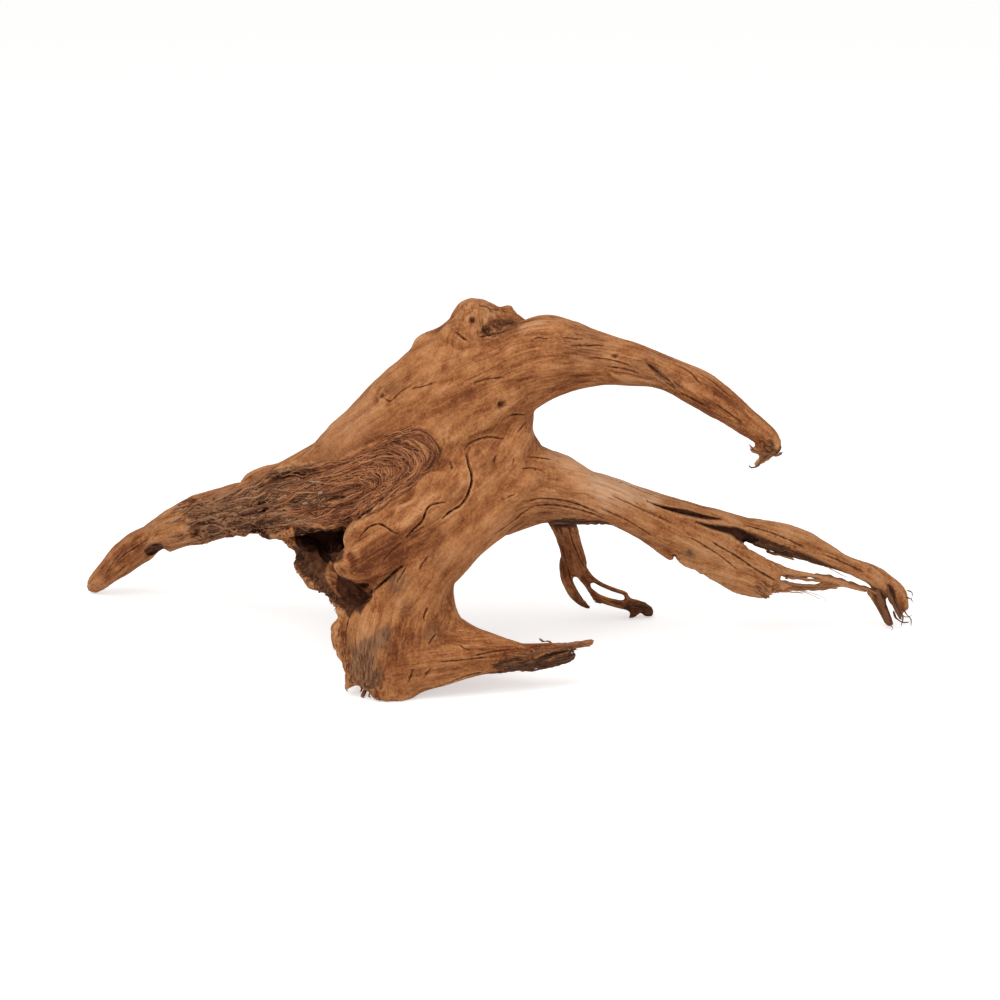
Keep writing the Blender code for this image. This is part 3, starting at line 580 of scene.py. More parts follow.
def spread(values, edges, rounds, share=0.5):  # evens values out over the mesh
    v = np.array(values, float)
    flat = v.ndim == 1
    v = v[:, None] if flat else v
    degree = np.bincount(edges.ravel(), minlength=len(v))[:, None]
    for _ in range(rounds):
        total = np.zeros_like(v)
        for k in range(v.shape[1]):
            total[:, k] = (np.bincount(edges[:, 0], v[edges[:, 1], k], len(v))
                           + np.bincount(edges[:, 1], v[edges[:, 0], k], len(v)))
        v += share * (total / np.maximum(degree, 1) - v)
    return v[:, 0] if flat else v


def treeOf(mesh, points):
    return BVHTree.FromPolygons(points.tolist(), [tuple(p.vertices) for p in mesh.polygons])


def saveFloats(mesh, name, values):
    layer = mesh.attributes.new(name, "FLOAT", "POINT")
    layer.data.foreach_set("value", np.asarray(values, np.float32))


def saveVectors(mesh, name, values):
    layer = mesh.attributes.new(name, "FLOAT_VECTOR", "POINT")
    layer.data.foreach_set("vector", np.asarray(values, np.float32).ravel())


def cutGaps(root):  # cuts the gaps through along the line of sight, all in one go
    points, faces = [], []
    for outline in gaps.values():
        first, count = len(points), len(outline)
        for plane in (-body["cutReach"], body["cutReach"]):
            points += [tuple(photoPoint(x, y, plane) * mm) for x, y in outline]
        faces += [[first + k for k in range(count)], [first + 2 * count - 1 - k for k in range(count)]]
        for k in range(count):
            after = (k + 1) % count
            faces.append([first + k, first + k + count, first + after + count, first + after])
    mesh = bpy.data.meshes.new("gapCutter")
    mesh.from_pydata(points, [], faces)
    cutter = bpy.data.objects.new("gapCutter", mesh)
    bpy.context.scene.collection.objects.link(cutter)
    bpy.ops.object.select_all(action="DESELECT")
    bpy.context.view_layer.objects.active = cutter
    cutter.select_set(True)
    bpy.ops.object.mode_set(mode="EDIT")
    bpy.ops.mesh.select_all(action="SELECT")
    bpy.ops.mesh.normals_make_consistent(inside=False)
    bpy.ops.object.mode_set(mode="OBJECT")
    bpy.context.view_layer.objects.active = root
    cut = root.modifiers.new("gap", "BOOLEAN")
    cut.operation = "DIFFERENCE"
    cut.solver = "EXACT"
    cut.object = cutter
    bpy.ops.object.modifier_apply(modifier="gap")
    bpy.data.objects.remove(cutter)


def dropLoose(root):  # crumbs that the cuts leave
    edges = readMesh(root.data)[2]
    label = np.arange(len(root.data.vertices))
    while True:
        low = label.copy()
        np.minimum.at(low, edges[:, 0], label[edges[:, 1]])
        np.minimum.at(low, edges[:, 1], label[edges[:, 0]])
        low = low[low]
        if (low == label).all():
            break
        label = low
    names, sizes = np.unique(label, return_counts=True)
    bpy.ops.object.mode_set(mode="EDIT")
    bpy.ops.mesh.select_mode(type="VERT")
    bpy.ops.mesh.select_all(action="DESELECT")
    bpy.ops.object.mode_set(mode="OBJECT")
    root.data.vertices.foreach_set("select", label != names[sizes.argmax()])
    bpy.ops.object.mode_set(mode="EDIT")
    bpy.ops.mesh.delete(type="VERT")
    bpy.ops.object.mode_set(mode="OBJECT")
    print("loose parts dropped:", len(names) - 1)


def startBody():  # the CAD solid's copy, rounded and remeshed evenly
    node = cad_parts["mangrove_root"]
    root = bpy.data.objects.new("weathered_root", node.data.copy())
    bpy.context.scene.collection.objects.link(root)
    root.data.materials.clear()
    bpy.context.view_layer.objects.active = root
    root.select_set(True)
    bpy.ops.object.mode_set(mode="EDIT")
    bpy.ops.mesh.select_all(action="SELECT")
    bpy.ops.mesh.remove_doubles(threshold=0.00001)
    bpy.ops.object.mode_set(mode="OBJECT")
    rounding = root.modifiers.new("rounding", "SUBSURF")
    rounding.levels = rounding.render_levels = 2
    bpy.ops.object.modifier_apply(modifier="rounding")
    cutGaps(root)
    voxels = root.modifiers.new("voxels", "REMESH")
    voxels.mode = "VOXEL"
    voxels.voxel_size = body["voxel"] * mm
    voxels.adaptivity = 0
    bpy.ops.object.modifier_apply(modifier="voxels")
    dropLoose(root)
    smooth = root.modifiers.new("smooth", "SMOOTH")
    smooth.factor = 0.5
    smooth.iterations = body["smoothing"]
    bpy.ops.object.modifier_apply(modifier="smooth")
    thin = root.modifiers.new("thin", "DECIMATE")  # fewer faces where the skin is plain
    thin.ratio = body["plainFaces"] / (2 * len(root.data.polygons))
    bpy.ops.object.modifier_apply(modifier="thin")
    print("body remeshed:", len(root.data.polygons), "faces")
    return root


def dentAt(spots, seen):  # how deep the dents make each place, and how much shade is painted into them
    depth, dark = np.zeros(len(spots)), np.zeros(len(spots))
    for outline, deep, edge, darkness in dents.values():
        line = smoothLine(outline + outline[:1], 2)
        pick = closeTo(spots, line, 1)
        pick = pick[seen[pick]]
        pick = pick[inPolygon(spots[pick], line)]
        if len(pick):
            d, _ = edgeDistance(spots[pick], line)
            depth[pick] += deep * smoothStep(0, edge, d)
            dark[pick] = np.maximum(dark[pick], darkness * smoothStep(-1.0, 1.6, d))
    return depth, dark


def castLine(tree, line, step=0.8, jump=5.0):  # a line in the photo, laid on the body
    found = []
    for x, y in smoothLine(line, step / photo["pixel"]):
        spot, way = photoRay(x, y)
        hit, normal, _, _ = tree.ray_cast(Vector(spot), Vector(way))
        if hit is None or (found and np.linalg.norm(np.array(hit) - found[-1][0]) > jump):
            continue
        found.append((np.array(hit), np.array(normal)))
    return found


def traceCheck(tree, start, routes, length, rng):  # a small split, traced along the grain
    found, p = [], np.array(start)
    turn = rng.uniform(-0.22, 0.22)
    for _ in range(int(length)):
        hit, normal, _, _ = tree.find_nearest(Vector(p))
        p, n = np.array(hit), np.array(normal)
        found.append((p.copy(), n))
        way = grainAt(p[None], routes)[2][0]
        side = np.cross(n, way)
        turn = 0.86 * turn + rng.uniform(-0.08, 0.08)
        step = way + side * turn
        step -= n * (step @ n)
        p = p + step / max(np.linalg.norm(step), 1e-6)
    return found


def asCrack(width, depth, found, named):
    return width, depth, np.array([f[0] for f in found]), np.array([f[1] for f in found]), named


def layCracks(tree, points, routes, seen):  # the photo's cracks, then small splits all round
    cracks = []
    for width, depth, line in crackLines:
        found = castLine(tree, line)
        if len(found) >= 4:
            cracks.append(asCrack(width * body["crackWidth"], depth, found, True))
    rng = random.Random(body["checkSeed"])
    for _ in range(body["checks"]):
        k = rng.randrange(len(points))
        length = rng.choice(body["checkLengths"])
        if seen[k] and rng.random() > body["frontChecks"]:
            continue
        if seen[k]:
            length = min(length, body["frontLength"])
        found = traceCheck(tree, points[k], routes, length, rng)
        width = rng.uniform(0.22, 0.45) if seen[k] else rng.uniform(0.35, 0.7)
        cracks.append(asCrack(width, width * rng.uniform(1.2, 2.0), found, False))
    return cracks


def refine(root, near):  # splits the marked faces once, so that thin lines keep their shape
    mesh = root.data
    mesh.polygons.foreach_set("select", near)
    bpy.context.view_layer.objects.active = root
    bpy.ops.object.mode_set(mode="EDIT")
    bpy.ops.mesh.select_mode(type="FACE")
    bpy.ops.mesh.subdivide(number_cuts=1)
    bpy.ops.mesh.select_all(action="SELECT")
    bpy.ops.mesh.quads_convert_to_tris(quad_method="BEAUTY", ngon_method="BEAUTY")
    bpy.ops.object.mode_set(mode="OBJECT")


def frayPlace(spots, seen):  # how far into the frayed band, and the fibres' own coordinates
    whole = [np.zeros(len(spots)) for _ in range(3)]
    pick = closeTo(spots, np.array(bandBox), 0)
    pick = pick[seen[pick]]
    for values, part in zip(whole, frayPart(spots[pick])):
        values[pick] = part
    return whole


def frayPart(spots):
    outer, inner = smoothLine(bandOuter, 3), smoothLine(bandInner, 3)
    dOuter, along = edgeDistance(spots, outer)
    dInner, alongInner = edgeDistance(spots, inner)
    edge = smoothLine(bandEdge + bandEdge[:1], 2)
    dEdge, _ = edgeDistance(spots, edge)
    inside = inPolygon(spots, edge)
    flat = np.column_stack([spots * 0.11, np.full(len(spots), 3.3)])
    wobble = layeredNoise(flat, 3, 91) * 7 - (1 - smoothStep(178, 235, spots[:, 0])) * 12
    wobble -= smoothStep(395, 430, spots[:, 0]) * 5
    amount = smoothStep(0, 4.5, np.where(inside, dEdge, -dEdge) + wobble)
    across = dOuter / np.maximum(dOuter + dInner, 1e-6)
    share = alongInner / alongInner.max() if alongInner.max() > 0 else 0
    along = 0.5 * (along + share * along.max())
    return amount, along, across


def seenInPhoto(tree, points, normals):
    eye = photoFrame()[0]
    seen = np.zeros(len(points), bool)
    front = np.einsum("ij,ij->i", normals, eye - points) > 0
    for i in np.nonzero(front)[0]:
        way = points[i] - eye
        far = np.linalg.norm(way)
        hit = tree.ray_cast(Vector(eye), Vector(way / far))
        seen[i] = hit[0] is not None and hit[3] > far - body["hiddenBy"]
    return seen


def markFine(mesh, points, seen, cracks):  # the faces at cracks, fibres, dents and torn edges
    spots = photoPlace(points)
    near = frayPlace(spots, seen)[0] > 0.3
    near |= dentAt(spots, seen)[1] > 0.02
    for width, _, line, _, named in cracks:
        if named:
            reach = body["fineReach"] + width
            pick = closeTo(points, line, reach)
            d = np.linalg.norm(points[pick][:, None] - line[None], axis=2).min(1)
            near[pick[d < reach]] = True
    for x, y, reach, _ in patches["ragged"]:
        near |= seen & (np.hypot(spots[:, 0] - x, spots[:, 1] - y) < reach * 0.7)
    corners = np.zeros(len(mesh.loops), int)
    mesh.loops.foreach_get("vertex_index", corners)
    starts = np.zeros(len(mesh.polygons), int)
    mesh.polygons.foreach_get("loop_start", starts)
    return np.add.reduceat(near[corners].astype(int), starts) >= 2


def photoZones(points, spots, seen, edges):  # how strong each kind of patch is at each point
    zones = {}
    wobble = 1 + 0.45 * layeredNoise(points * 0.16 + 11.3, 3, 5)
    for name, marks in patches.items():
        amount = np.zeros(len(points))
        for x, y, reach, strength in marks:
            d = np.hypot(spots[:, 0] - x, spots[:, 1] - y) / (reach * wobble)
            soft = 1 - smoothStep(0.35, 1.15, d)
            amount = amount + strength * soft if name == "shade" else np.maximum(amount, strength * soft)
        shapes = name in ("ragged", "folds")  # these go round to where the photo doesn't look
        zones[name] = spread(np.where(seen | shapes, amount, 0), edges, 3)
    shift = [layeredNoise(points * 0.35, 2, seed) for seed in (51, 52)]
    moved = spots + np.stack(shift, axis=1) * 4
    for outline, strength in stains.values():
        inside = seen & inPolygon(moved, smoothLine(outline + outline[:1], 2))
        zones["grey"] = np.maximum(zones["grey"], spread(inside * strength, edges, 1))
    # the side away from the camera is weathered in places of its own
    behind = 1 - spread(seen.astype(float), edges, 6)
    weather = smoothStep(0.22, 0.55, layeredNoise(points * 0.028 + 4.1, 3, 21))
    rotten = smoothStep(0.3, 0.6, layeredNoise(points * 0.035 + 9.7, 3, 33))
    zones["grey"] = np.maximum(zones["grey"], behind * weather * 0.7)
    zones["rot"] = np.maximum(zones["rot"], behind * rotten * 0.6)
    return zones


def frayRelief(points, spots, fibre):
    ridge = (layeredNoise(fibre, 2, 71) * 0.9 + layeredNoise(fibre * 2.4, 2, 72) * 0.6
             + layeredNoise(points * 0.22, 2, 73) * 0.7) * body["fray"]
    ridge += (layeredNoise(fibre * 0.45, 2, 74) - 0.25) * body["tufts"]
    ridge -= body["bandSunk"] * (1 - 0.6 * smoothStep(380, 425, spots[:, 0]))  # less at its right end
    return ridge


def skinRelief(points, spots, places, weights, fibre, zones):  # mm out of the smooth body
    relief = np.zeros(len(points))
    for k in range(len(grain["channels"])):
        some = weights[k] > 0.02
        if not some.any():
            continue
        if k == bandChannel:
            ridge = frayRelief(points[some], spots[some], fibre[some])
        else:
            place = places[k][some]
            ridge = layeredNoise(place * 0.26, 2, 40 + k) * body["ridges"]
            ridge += layeredNoise(place * 0.8, 2, 60 + k) * body["fineRidges"]
        relief[some] += ridge * weights[k][some]
    relief += layeredNoise(points * 0.042, 2, 80) * body["lumps"] * (1 - weights[bandChannel])
    relief += layeredNoise(points * 0.13, 2, 81) * body["dimples"]
    torn = 0.6 - 2.2 * np.abs(layeredNoise(points * 0.30, 2, 82))
    torn += layeredNoise(points * 0.62, 1, 83) * 0.5
    relief += zones["ragged"] * torn
    folded = 0.8 - 3.0 * np.abs(layeredNoise(points * np.array([0.15, 0.1, 0.09]), 2, 84))
    relief += zones["folds"] * folded
    return relief


def pressKnots(tree, points, relief):  # lowers the knots, and returns how near each point is to one
    ring = np.zeros(len(points))
    for x, y, radius, depth, rings in knots:
        spot, aim = photoRay(x, y)
        hit = tree.ray_cast(Vector(spot), Vector(aim))[0]
        if hit is None:
            continue
        d = np.linalg.norm(points - np.array(hit), axis=1)
        relief -= depth * np.exp(-(d / radius)**2)
        relief += 0.35 * np.exp(-((d - radius * 1.7) / (radius * 0.6))**2)  # a raised lip
        ring = np.maximum(ring, np.exp(-(d / (radius * 0.95))**2))
        if rings:
            relief += 0.16 * np.cos(d * 2.6) * np.exp(-(d / (radius * 2.6))**2)
    return ring


def freeSet(laid, line):  # of three sets of cracks, one whose lines keep clear of this one
    clear = np.array([min((np.linalg.norm(line[:, None] - o[None], axis=2).min() for o in group),
                          default=math.inf) for group in laid])
    enough = clear > body["crackApart"]
    return int(np.argmax(enough if enough.any() else clear))


def cutCracks(points, normals, cracks, relief):  # grooves, and each point's place across the nearest crack
    side, depthOf = np.full((len(points), 3), body["noCrack"]), np.zeros((len(points), 3))
    laid = [[], [], []]
    for width, depth, line, up, _ in cracks:
        slot = freeSet(laid, line)
        laid[slot].append(line)
        pick = closeTo(points, line, body["crackReach"])
        if not len(pick) or len(line) < 3:
            continue
        across = unit(np.cross(unit(np.gradient(line, axis=0)), up))
        d = np.linalg.norm(points[pick][:, None] - line[None], axis=2)
        near = d.min(1) < body["crackReach"]
        pick, j, d = pick[near], d.argmin(1)[near], d.min(1)[near]
        away = ((points[pick] - line[j]) * across[j]).sum(1)
        ends = np.minimum(j, len(line) - 1 - j) / max(1.0, min(7.0, len(line) * 0.3))
        fade = np.clip(ends, 0, 1)**0.7 * (0.75 + 0.25 * np.sin(j * 0.9 + len(line)))
        facing = smoothStep(-0.1, 0.4, (normals[pick] * up[j]).sum(1))
        here = fade * (1 - smoothStep(2.6, 4.2, d)) * facing
        along = np.column_stack([j * 0.3, np.full(len(j), line[0, 0]), np.zeros(len(j))])
        uneven = 0.75 + 0.5 * layeredNoise(along, 2, 6)
        halfWidth = np.maximum(width * 0.5 * (0.3 + 0.7 * fade) * uneven, 0.14)
        better = here > depthOf[pick, slot]
        depthOf[pick[better], slot] = here[better]
        side[pick[better], slot] = np.clip(away / halfWidth, -12, 12)[better]
        relief[pick] -= depth * fade * facing * np.exp(-(away / max(width * 0.55, 0.55))**2)
        lip = np.exp(-((np.abs(away) - width * 1.3) / 0.8)**2)
        relief[pick] += 0.12 * depth * fade * facing * lip
    return side, depthOf


def sculptBody(root, routes):
    mesh = root.data
    points, normals, _ = readMesh(mesh)
    tree = treeOf(mesh, points)
    seen = seenInPhoto(tree, points, normals)
    cracks = layCracks(tree, points, routes, seen)
    print("cracks laid:", len(cracks))
    refine(root, markFine(mesh, points, seen, cracks))
    print("body refined:", len(mesh.polygons), "faces")

    points, normals, edges = readMesh(mesh)
    spots = photoPlace(points)
    seen = seenInPhoto(tree, points, normals)
    places, weights, _ = grainAt(points, routes)
    frayed, along, across = frayPlace(spots, seen)
    fibre = np.stack([along * 0.05, across * 9.0, np.zeros(len(points))], axis=1)
    places[bandChannel] = np.stack([along * 0.07, across * 22.0, points[:, 1] * 0.2], axis=1)
    frayed = spread(frayed, edges, 2)
    weights = weights * (1 - frayed)
    weights[bandChannel] = frayed
    zones = photoZones(points, spots, seen, edges)

    left = thickness(tree, points, normals)
    relief = skinRelief(points, spots, places, weights, fibre, zones)
    relief *= 0.35 + 0.65 * smoothStep(2.0, 9.0, left)  # thin limbs keep their shape
    ring = pressKnots(tree, points, relief)
    side, depthOf = cutCracks(points, normals, cracks, relief)
    dent, dark = dentAt(spots, seen)
    dent = np.minimum(dent, body["dentShare"] * left)
    points = points + normals * relief[:, None] + photoFrame()[2] * dent[:, None]
    points[:, 2] = np.maximum(points[:, 2], 0.0)  # nothing sinks into what it stands on
    writePoints(mesh, points)

    # what the material reads: grain, cracks, weather, painted light and shade, and how open, hollow or raised
    # each place is, from which it paints shade into hollows and creases and light onto ridges
    points, normals, edges = readMesh(mesh)
    tree = treeOf(mesh, points)
    openness = spread(openTo(tree, points, normals), edges, 2)
    # how far each place stands out of or sinks into its surroundings, which the material turns into painted
    # shade in creases and painted light on ridges
    fineBend, wideBend = (np.einsum("ij,ij->i", points - spread(points, edges, rounds), normals)
                          for rounds in (3, 24))
    for k, letter in enumerate(grain["channels"]):
        saveVectors(mesh, "grain" + letter, places[k])
    for name, parts in {
        "mixABC": weights[:3],
        "mixDEF": weights[3:],
        "crackSide": side.T,
        "crackDepth": depthOf.T,
        "weather": (zones["grey"], zones["rot"], zones["pale"]),
        "relief": (np.clip(fineBend * 3, -1, 1), np.clip(wideBend * 0.8, -1, 1), openness),
        "marks": (frayed, ring, spread(dark, edges, 1)),
    }.items():
        saveVectors(mesh, name, np.stack(parts, axis=1))
    saveFloats(mesh, "shade", zones["shade"])
    print("body sculpted")
    return tree


def thickness(tree, points, normals):  # wood left under each place
    depth = np.full(len(points), body["mostDepth"])
    for i in range(len(points)):
        start = points[i] - normals[i] * 0.05
        hit = tree.ray_cast(Vector(start), Vector(-normals[i]), body["mostDepth"])
        if hit[0] is not None:
            depth[i] = hit[3]
    return depth


def openTo(tree, points, normals):  # share of the lines out of each place that meet nothing
    rng = np.random.default_rng(body["openSeed"])
    rays = unit(rng.normal(size=(body["openRays"], 3)))
    openness = np.zeros(len(points))
    for i in range(len(points)):
        n = normals[i]
        start = Vector(points[i] + n * 0.4)
        free = [tree.ray_cast(start, Vector(n * 1.02 + r), body["openReach"])[0] is None for r in rays]
        openness[i] = sum(free) / len(rays)
    return openness


# materials

def addNode(tree, kind, settings=None, **inputs):
    node = tree.nodes.new("ShaderNode" + kind)
    for key, value in (settings or {}).items():
        setattr(node, key, value)
    for key, value in inputs.items():
        numbered = key[0] == "i" and key[1:].isdigit()
        socket = node.inputs[int(key[1:]) if numbered else key]
        if isinstance(value, bpy.types.NodeSocket):
            tree.links.new(value, socket)
        else:
            socket.default_value = value
    return node


def calc(tree, operation, a, b=0.0, clamp=False):
    return addNode(tree, "Math", {"operation": operation, "use_clamp": clamp}, i0=a, i1=b).outputs[0]


def times(tree, a, b, clamp=False):
    return calc(tree, "MULTIPLY", a, b, clamp)


def fold(tree, operation, *values):  # one sum, or one greatest value, of many
    total = values[0]
    for value in values[1:]:
        total = calc(tree, operation, total, value)
    return total


def ramp(tree, factor, stops):
    node = addNode(tree, "ValToRGB", i0=factor)
    elements = node.color_ramp.elements
    while len(elements) < len(stops):
        elements.new(0.5)
    for element, (place, colour) in zip(elements, stops):
        element.position = place
        element.color = (*colour, 1)
    return node.outputs["Color"]


def span(tree, value, low, high, toLow=0.0, toHigh=1.0):
    settings = {"interpolation_type": "SMOOTHSTEP"}
    return addNode(tree, "MapRange", settings, i0=value, i1=low, i2=high, i3=toLow, i4=toHigh).outputs[0]


def blendColour(tree, factor, a, b):
    node = addNode(tree, "Mix", {"data_type": "RGBA"})
    for socket, value in ((node.inputs[0], factor), (node.inputs[6], a), (node.inputs[7], b)):
        if isinstance(value, bpy.types.NodeSocket):
            tree.links.new(value, socket)
        else:
            socket.default_value = value if isinstance(value, float) else (*value, 1)
    return node.outputs[2]


def makeGroup(name, vectors, values, result):
    group = bpy.data.node_groups.new(name, "ShaderNodeTree")
    for title in vectors:
        group.interface.new_socket(title, in_out="INPUT", socket_type="NodeSocketVector")
    for title in values:
        group.interface.new_socket(title, in_out="INPUT", socket_type="NodeSocketFloat")
    group.interface.new_socket(result, in_out="OUTPUT", socket_type="NodeSocketFloat")
    return group, group.nodes.new("NodeGroupInput"), group.nodes.new("NodeGroupOutput")


def makeGrainGroup():  # one pattern along the grain, blended over the six sets of coordinates
    vectors = ["Grain " + letter for letter in grain["channels"]] + ["Mix ABC", "Mix DEF", "Stretch"]
    values = ("Scale", "Detail", "Distortion")
    group, source, out = makeGroup("grainPattern", vectors, values, "Pattern")
    given = {name: source.outputs[name] for name in values}
    shares = [addNode(group, "SeparateXYZ", i0=source.outputs["Mix " + part]) for part in ("ABC", "DEF")]
    parts = []
    for k, letter in enumerate(grain["channels"]):
        place = addNode(group, "VectorMath", {"operation": "MULTIPLY"}, i0=source.outputs["Grain " + letter],
                        i1=source.outputs["Stretch"]).outputs[0]
        texture = addNode(group, "TexNoise", Vector=place, Roughness=0.58, **given)
        parts.append(times(group, texture.outputs[0], shares[k // 3].outputs[k % 3]))
    group.links.new(fold(group, "ADD", *parts), out.inputs["Pattern"])
    return group


def makeSpeckGroup():  # fine mottling that every piece of the root shares
    group, source, out = makeGroup("woodSpecks", (), ("Scale", "Amount"), "Specks")
    place, scale = addNode(group, "TexCoord").outputs["Object"], source.outputs["Scale"]
    texture = addNode(group, "TexNoise", Vector=place, Scale=scale, Detail=4.0, Roughness=0.65)
    moved = times(group, calc(group, "SUBTRACT", texture.outputs[0], 0.5), source.outputs["Amount"])
    group.links.new(moved, out.inputs["Specks"])
    return group


def specksNode(tree, group, scale, amount):
    node = tree.nodes.new("ShaderNodeGroup")
    node.node_tree = group
    node.inputs["Scale"].default_value = scale
    node.inputs["Amount"].default_value = amount
    return node.outputs["Specks"]


patterns = {  # noise along the grain: scale, detail, distortion, stretch
    "blotch": (0.11, 4.0, 0.9, (2.2, 1, 1)),
    "streak": (0.5, 4.0, 0.4, (1, 1, 1)),
    "fine": (1.2, 3.0, 0.15, (0.35, 1, 1)),
}

woodTone = {  # how much each pattern lightens or darkens the wood; shade, fineBend and wideBend paint light and shade into it
    "blotch": 0.75,
    "streak": 0.36,
    "fine": 0.7,
    # shade is painted light and shade by region; fineBend and wideBend paint shade into creases and light
    # onto ridges
    "shade": 0.35,
    "fineBend": 0.22,
    "wideBend": 0.10,
    "mottle": (110, 0.42),  # scale and amount
    "specks": (620, 0.65),
    "strandSpecks": (900, 0.55),
}

# wood colours; the hollow colour is painted shade for hollows, dents and undersides, crack is painted shade
# in cracks and knot pits, and frayDeep darkens the band's creases as painted shade and its darker fibres
wood = {
    "deep": (0.115, 0.030, 0.009),
    "brown": (0.255, 0.083, 0.025),
    "tan": (0.415, 0.165, 0.056),
    "light": (0.560, 0.270, 0.120),
    "grey": (0.108, 0.047, 0.022),
    "paleGrey": (0.230, 0.118, 0.064),
    "rot": (0.130, 0.034, 0.012),
    "hollow": (0.044, 0.013, 0.006),
    "pale": (0.640, 0.410, 0.260),
    "crack": (0.010, 0.005, 0.003),
    "fray": (0.230, 0.085, 0.034),
    "frayDeep": (0.070, 0.020, 0.008),
}


def makeWoodMaterial(patternGroup, speckGroup):
    material = bpy.data.materials.new("weatheredWood")
    material.use_nodes = True
    tree = material.node_tree
    shader = tree.nodes["Principled BSDF"]

    def read(name, output="Vector"):
        settings = {"attribute_type": "GEOMETRY", "attribute_name": name}
        return addNode(tree, "Attribute", settings).outputs[output]

    def parts(name):
        return addNode(tree, "SeparateXYZ", i0=read(name)).outputs

    def away(value):  # a pattern's distance from its middle
        return calc(tree, "SUBTRACT", value, 0.5)

    places = {letter: read("grain" + letter) for letter in grain["channels"]}
    mixes = {name: read("mix" + name) for name in ("ABC", "DEF")}

    def pattern(name):
        scale, detail, distortion, stretch = patterns[name]
        node = tree.nodes.new("ShaderNodeGroup")
        node.node_tree = patternGroup
        for letter, place in places.items():
            tree.links.new(place, node.inputs["Grain " + letter])
        for mix, share in mixes.items():
            tree.links.new(share, node.inputs["Mix " + mix])
        node.inputs["Stretch"].default_value = stretch
        node.inputs["Scale"].default_value = scale
        node.inputs["Detail"].default_value = detail
        node.inputs["Distortion"].default_value = distortion
        return node.outputs["Pattern"]

    blotch, streak, fine = pattern("blotch"), pattern("streak"), pattern("fine")
    specks = specksNode(tree, speckGroup, *woodTone["specks"])
    mottle = specksNode(tree, speckGroup, *woodTone["mottle"])
    fineBend, wideBend, openness = parts("relief")
    grey, rot, pale = parts("weather")
    frayed, ring, dark = parts("marks")

    # the shade, fineBend and wideBend terms are painted light and shade: lighter on lit tops and ridges,
    # darker on undersides and in creases
    tone = calc(tree, "ADD", times(tree, away(blotch), woodTone["blotch"]), 0.5)
    for value, name in ((away(streak), "streak"), (away(fine), "fine"), (read("shade", "Fac"), "shade"),
                        (fineBend, "fineBend"), (wideBend, "wideBend")):
        tone = calc(tree, "ADD", tone, times(tree, value, woodTone[name]))
    tone = fold(tree, "ADD", tone, mottle, specks)
    colour = ramp(tree, tone, [(0.12, wood["deep"]), (0.36, wood["brown"]), (0.60, wood["tan"]),
                               (0.90, wood["light"])])

    # pale bleached wood along the streaks, which on the top of the leg is partly painted light
    paleMask = times(tree, pale, span(tree, streak, 0.35, 0.6), True)
    colour = blendColour(tree, paleMask, colour, wood["pale"])
    rotMask = times(tree, rot, span(tree, calc(tree, "ADD", streak, blotch), 1.15, 0.75), True)
    colour = blendColour(tree, rotMask, colour, wood["rot"])
    # the band's colour darkens in its creases through fineBend, which is painted shade, and along its grain
    frayTone = span(tree, fold(tree, "ADD", streak, fine, fineBend), 0.7, 1.3)
    frayColour = blendColour(tree, frayTone, wood["frayDeep"], wood["fray"])
    colour = blendColour(tree, times(tree, frayed, 0.9), colour, frayColour)

    greyMask = times(tree, grey, span(tree, calc(tree, "ADD", streak, fine), 0.75, 1.1, 1.0, 0.8), True)
    greyWood = blendColour(tree, span(tree, fine, 0.4, 0.62), wood["grey"], wood["paleGrey"])
    colour = blendColour(tree, greyMask, colour, greyWood)

    # painted shade: near black where few lines get out of a hollow, and in the dents, slits and undersides by
    # their darkness
    shut = span(tree, openness, 0.62, 0.14)
    colour = blendColour(tree, times(tree, shut, 0.92), colour, wood["hollow"])
    colour = blendColour(tree, dark, colour, wood["hollow"])
    # each knot's pit darkens towards black: the knot's own dark wood, and painted shade in the pit
    colour = blendColour(tree, times(tree, ring, 0.85, True), colour, wood["crack"])

    streakLine = span(tree, fine, 0.40, 0.30)  # thin dark lines along the grain
    colour = blendColour(tree, times(tree, streakLine, 0.5), colour, wood["deep"])

    # each crack is painted near black, which is painted shade in the crack, and a darker brown band runs
    # along it
    lines, rims = [], []
    for offset, depth in zip(parts("crackSide"), parts("crackDepth")):
        wobble = calc(tree, "ADD", offset, times(tree, away(fine), 1.6))
        wobble = calc(tree, "ABSOLUTE", wobble)
        lines.append(times(tree, span(tree, wobble, 1.25, 0.55), span(tree, depth, 0.05, 0.45)))
        rims.append(times(tree, span(tree, wobble, 5.0, 1.0), span(tree, depth, 0.1, 0.8)))
    crack, crackHalo = fold(tree, "MAXIMUM", *lines), fold(tree, "MAXIMUM", *rims)
    colour = blendColour(tree, times(tree, crackHalo, 0.4), colour, wood["deep"])
    colour = blendColour(tree, times(tree, crack, 0.93), colour, wood["crack"])
    tree.links.new(colour, shader.inputs["Base Color"])

    tree.links.new(span(tree, tone, 0.2, 0.9, 0.88, 0.66), shader.inputs["Roughness"])
    shader.inputs["Specular IOR Level"].default_value = 0.2

    height = fold(tree, "ADD", times(tree, fine, 0.55), times(tree, streak, 0.9), times(tree, specks, 0.5))
    height = calc(tree, "SUBTRACT", height, times(tree, crack, 0.9))
    bump = addNode(tree, "Bump", Strength=0.6, Distance=0.0007, Height=height)
    tree.links.new(bump.outputs["Normal"], shader.inputs["Normal"])
    return material


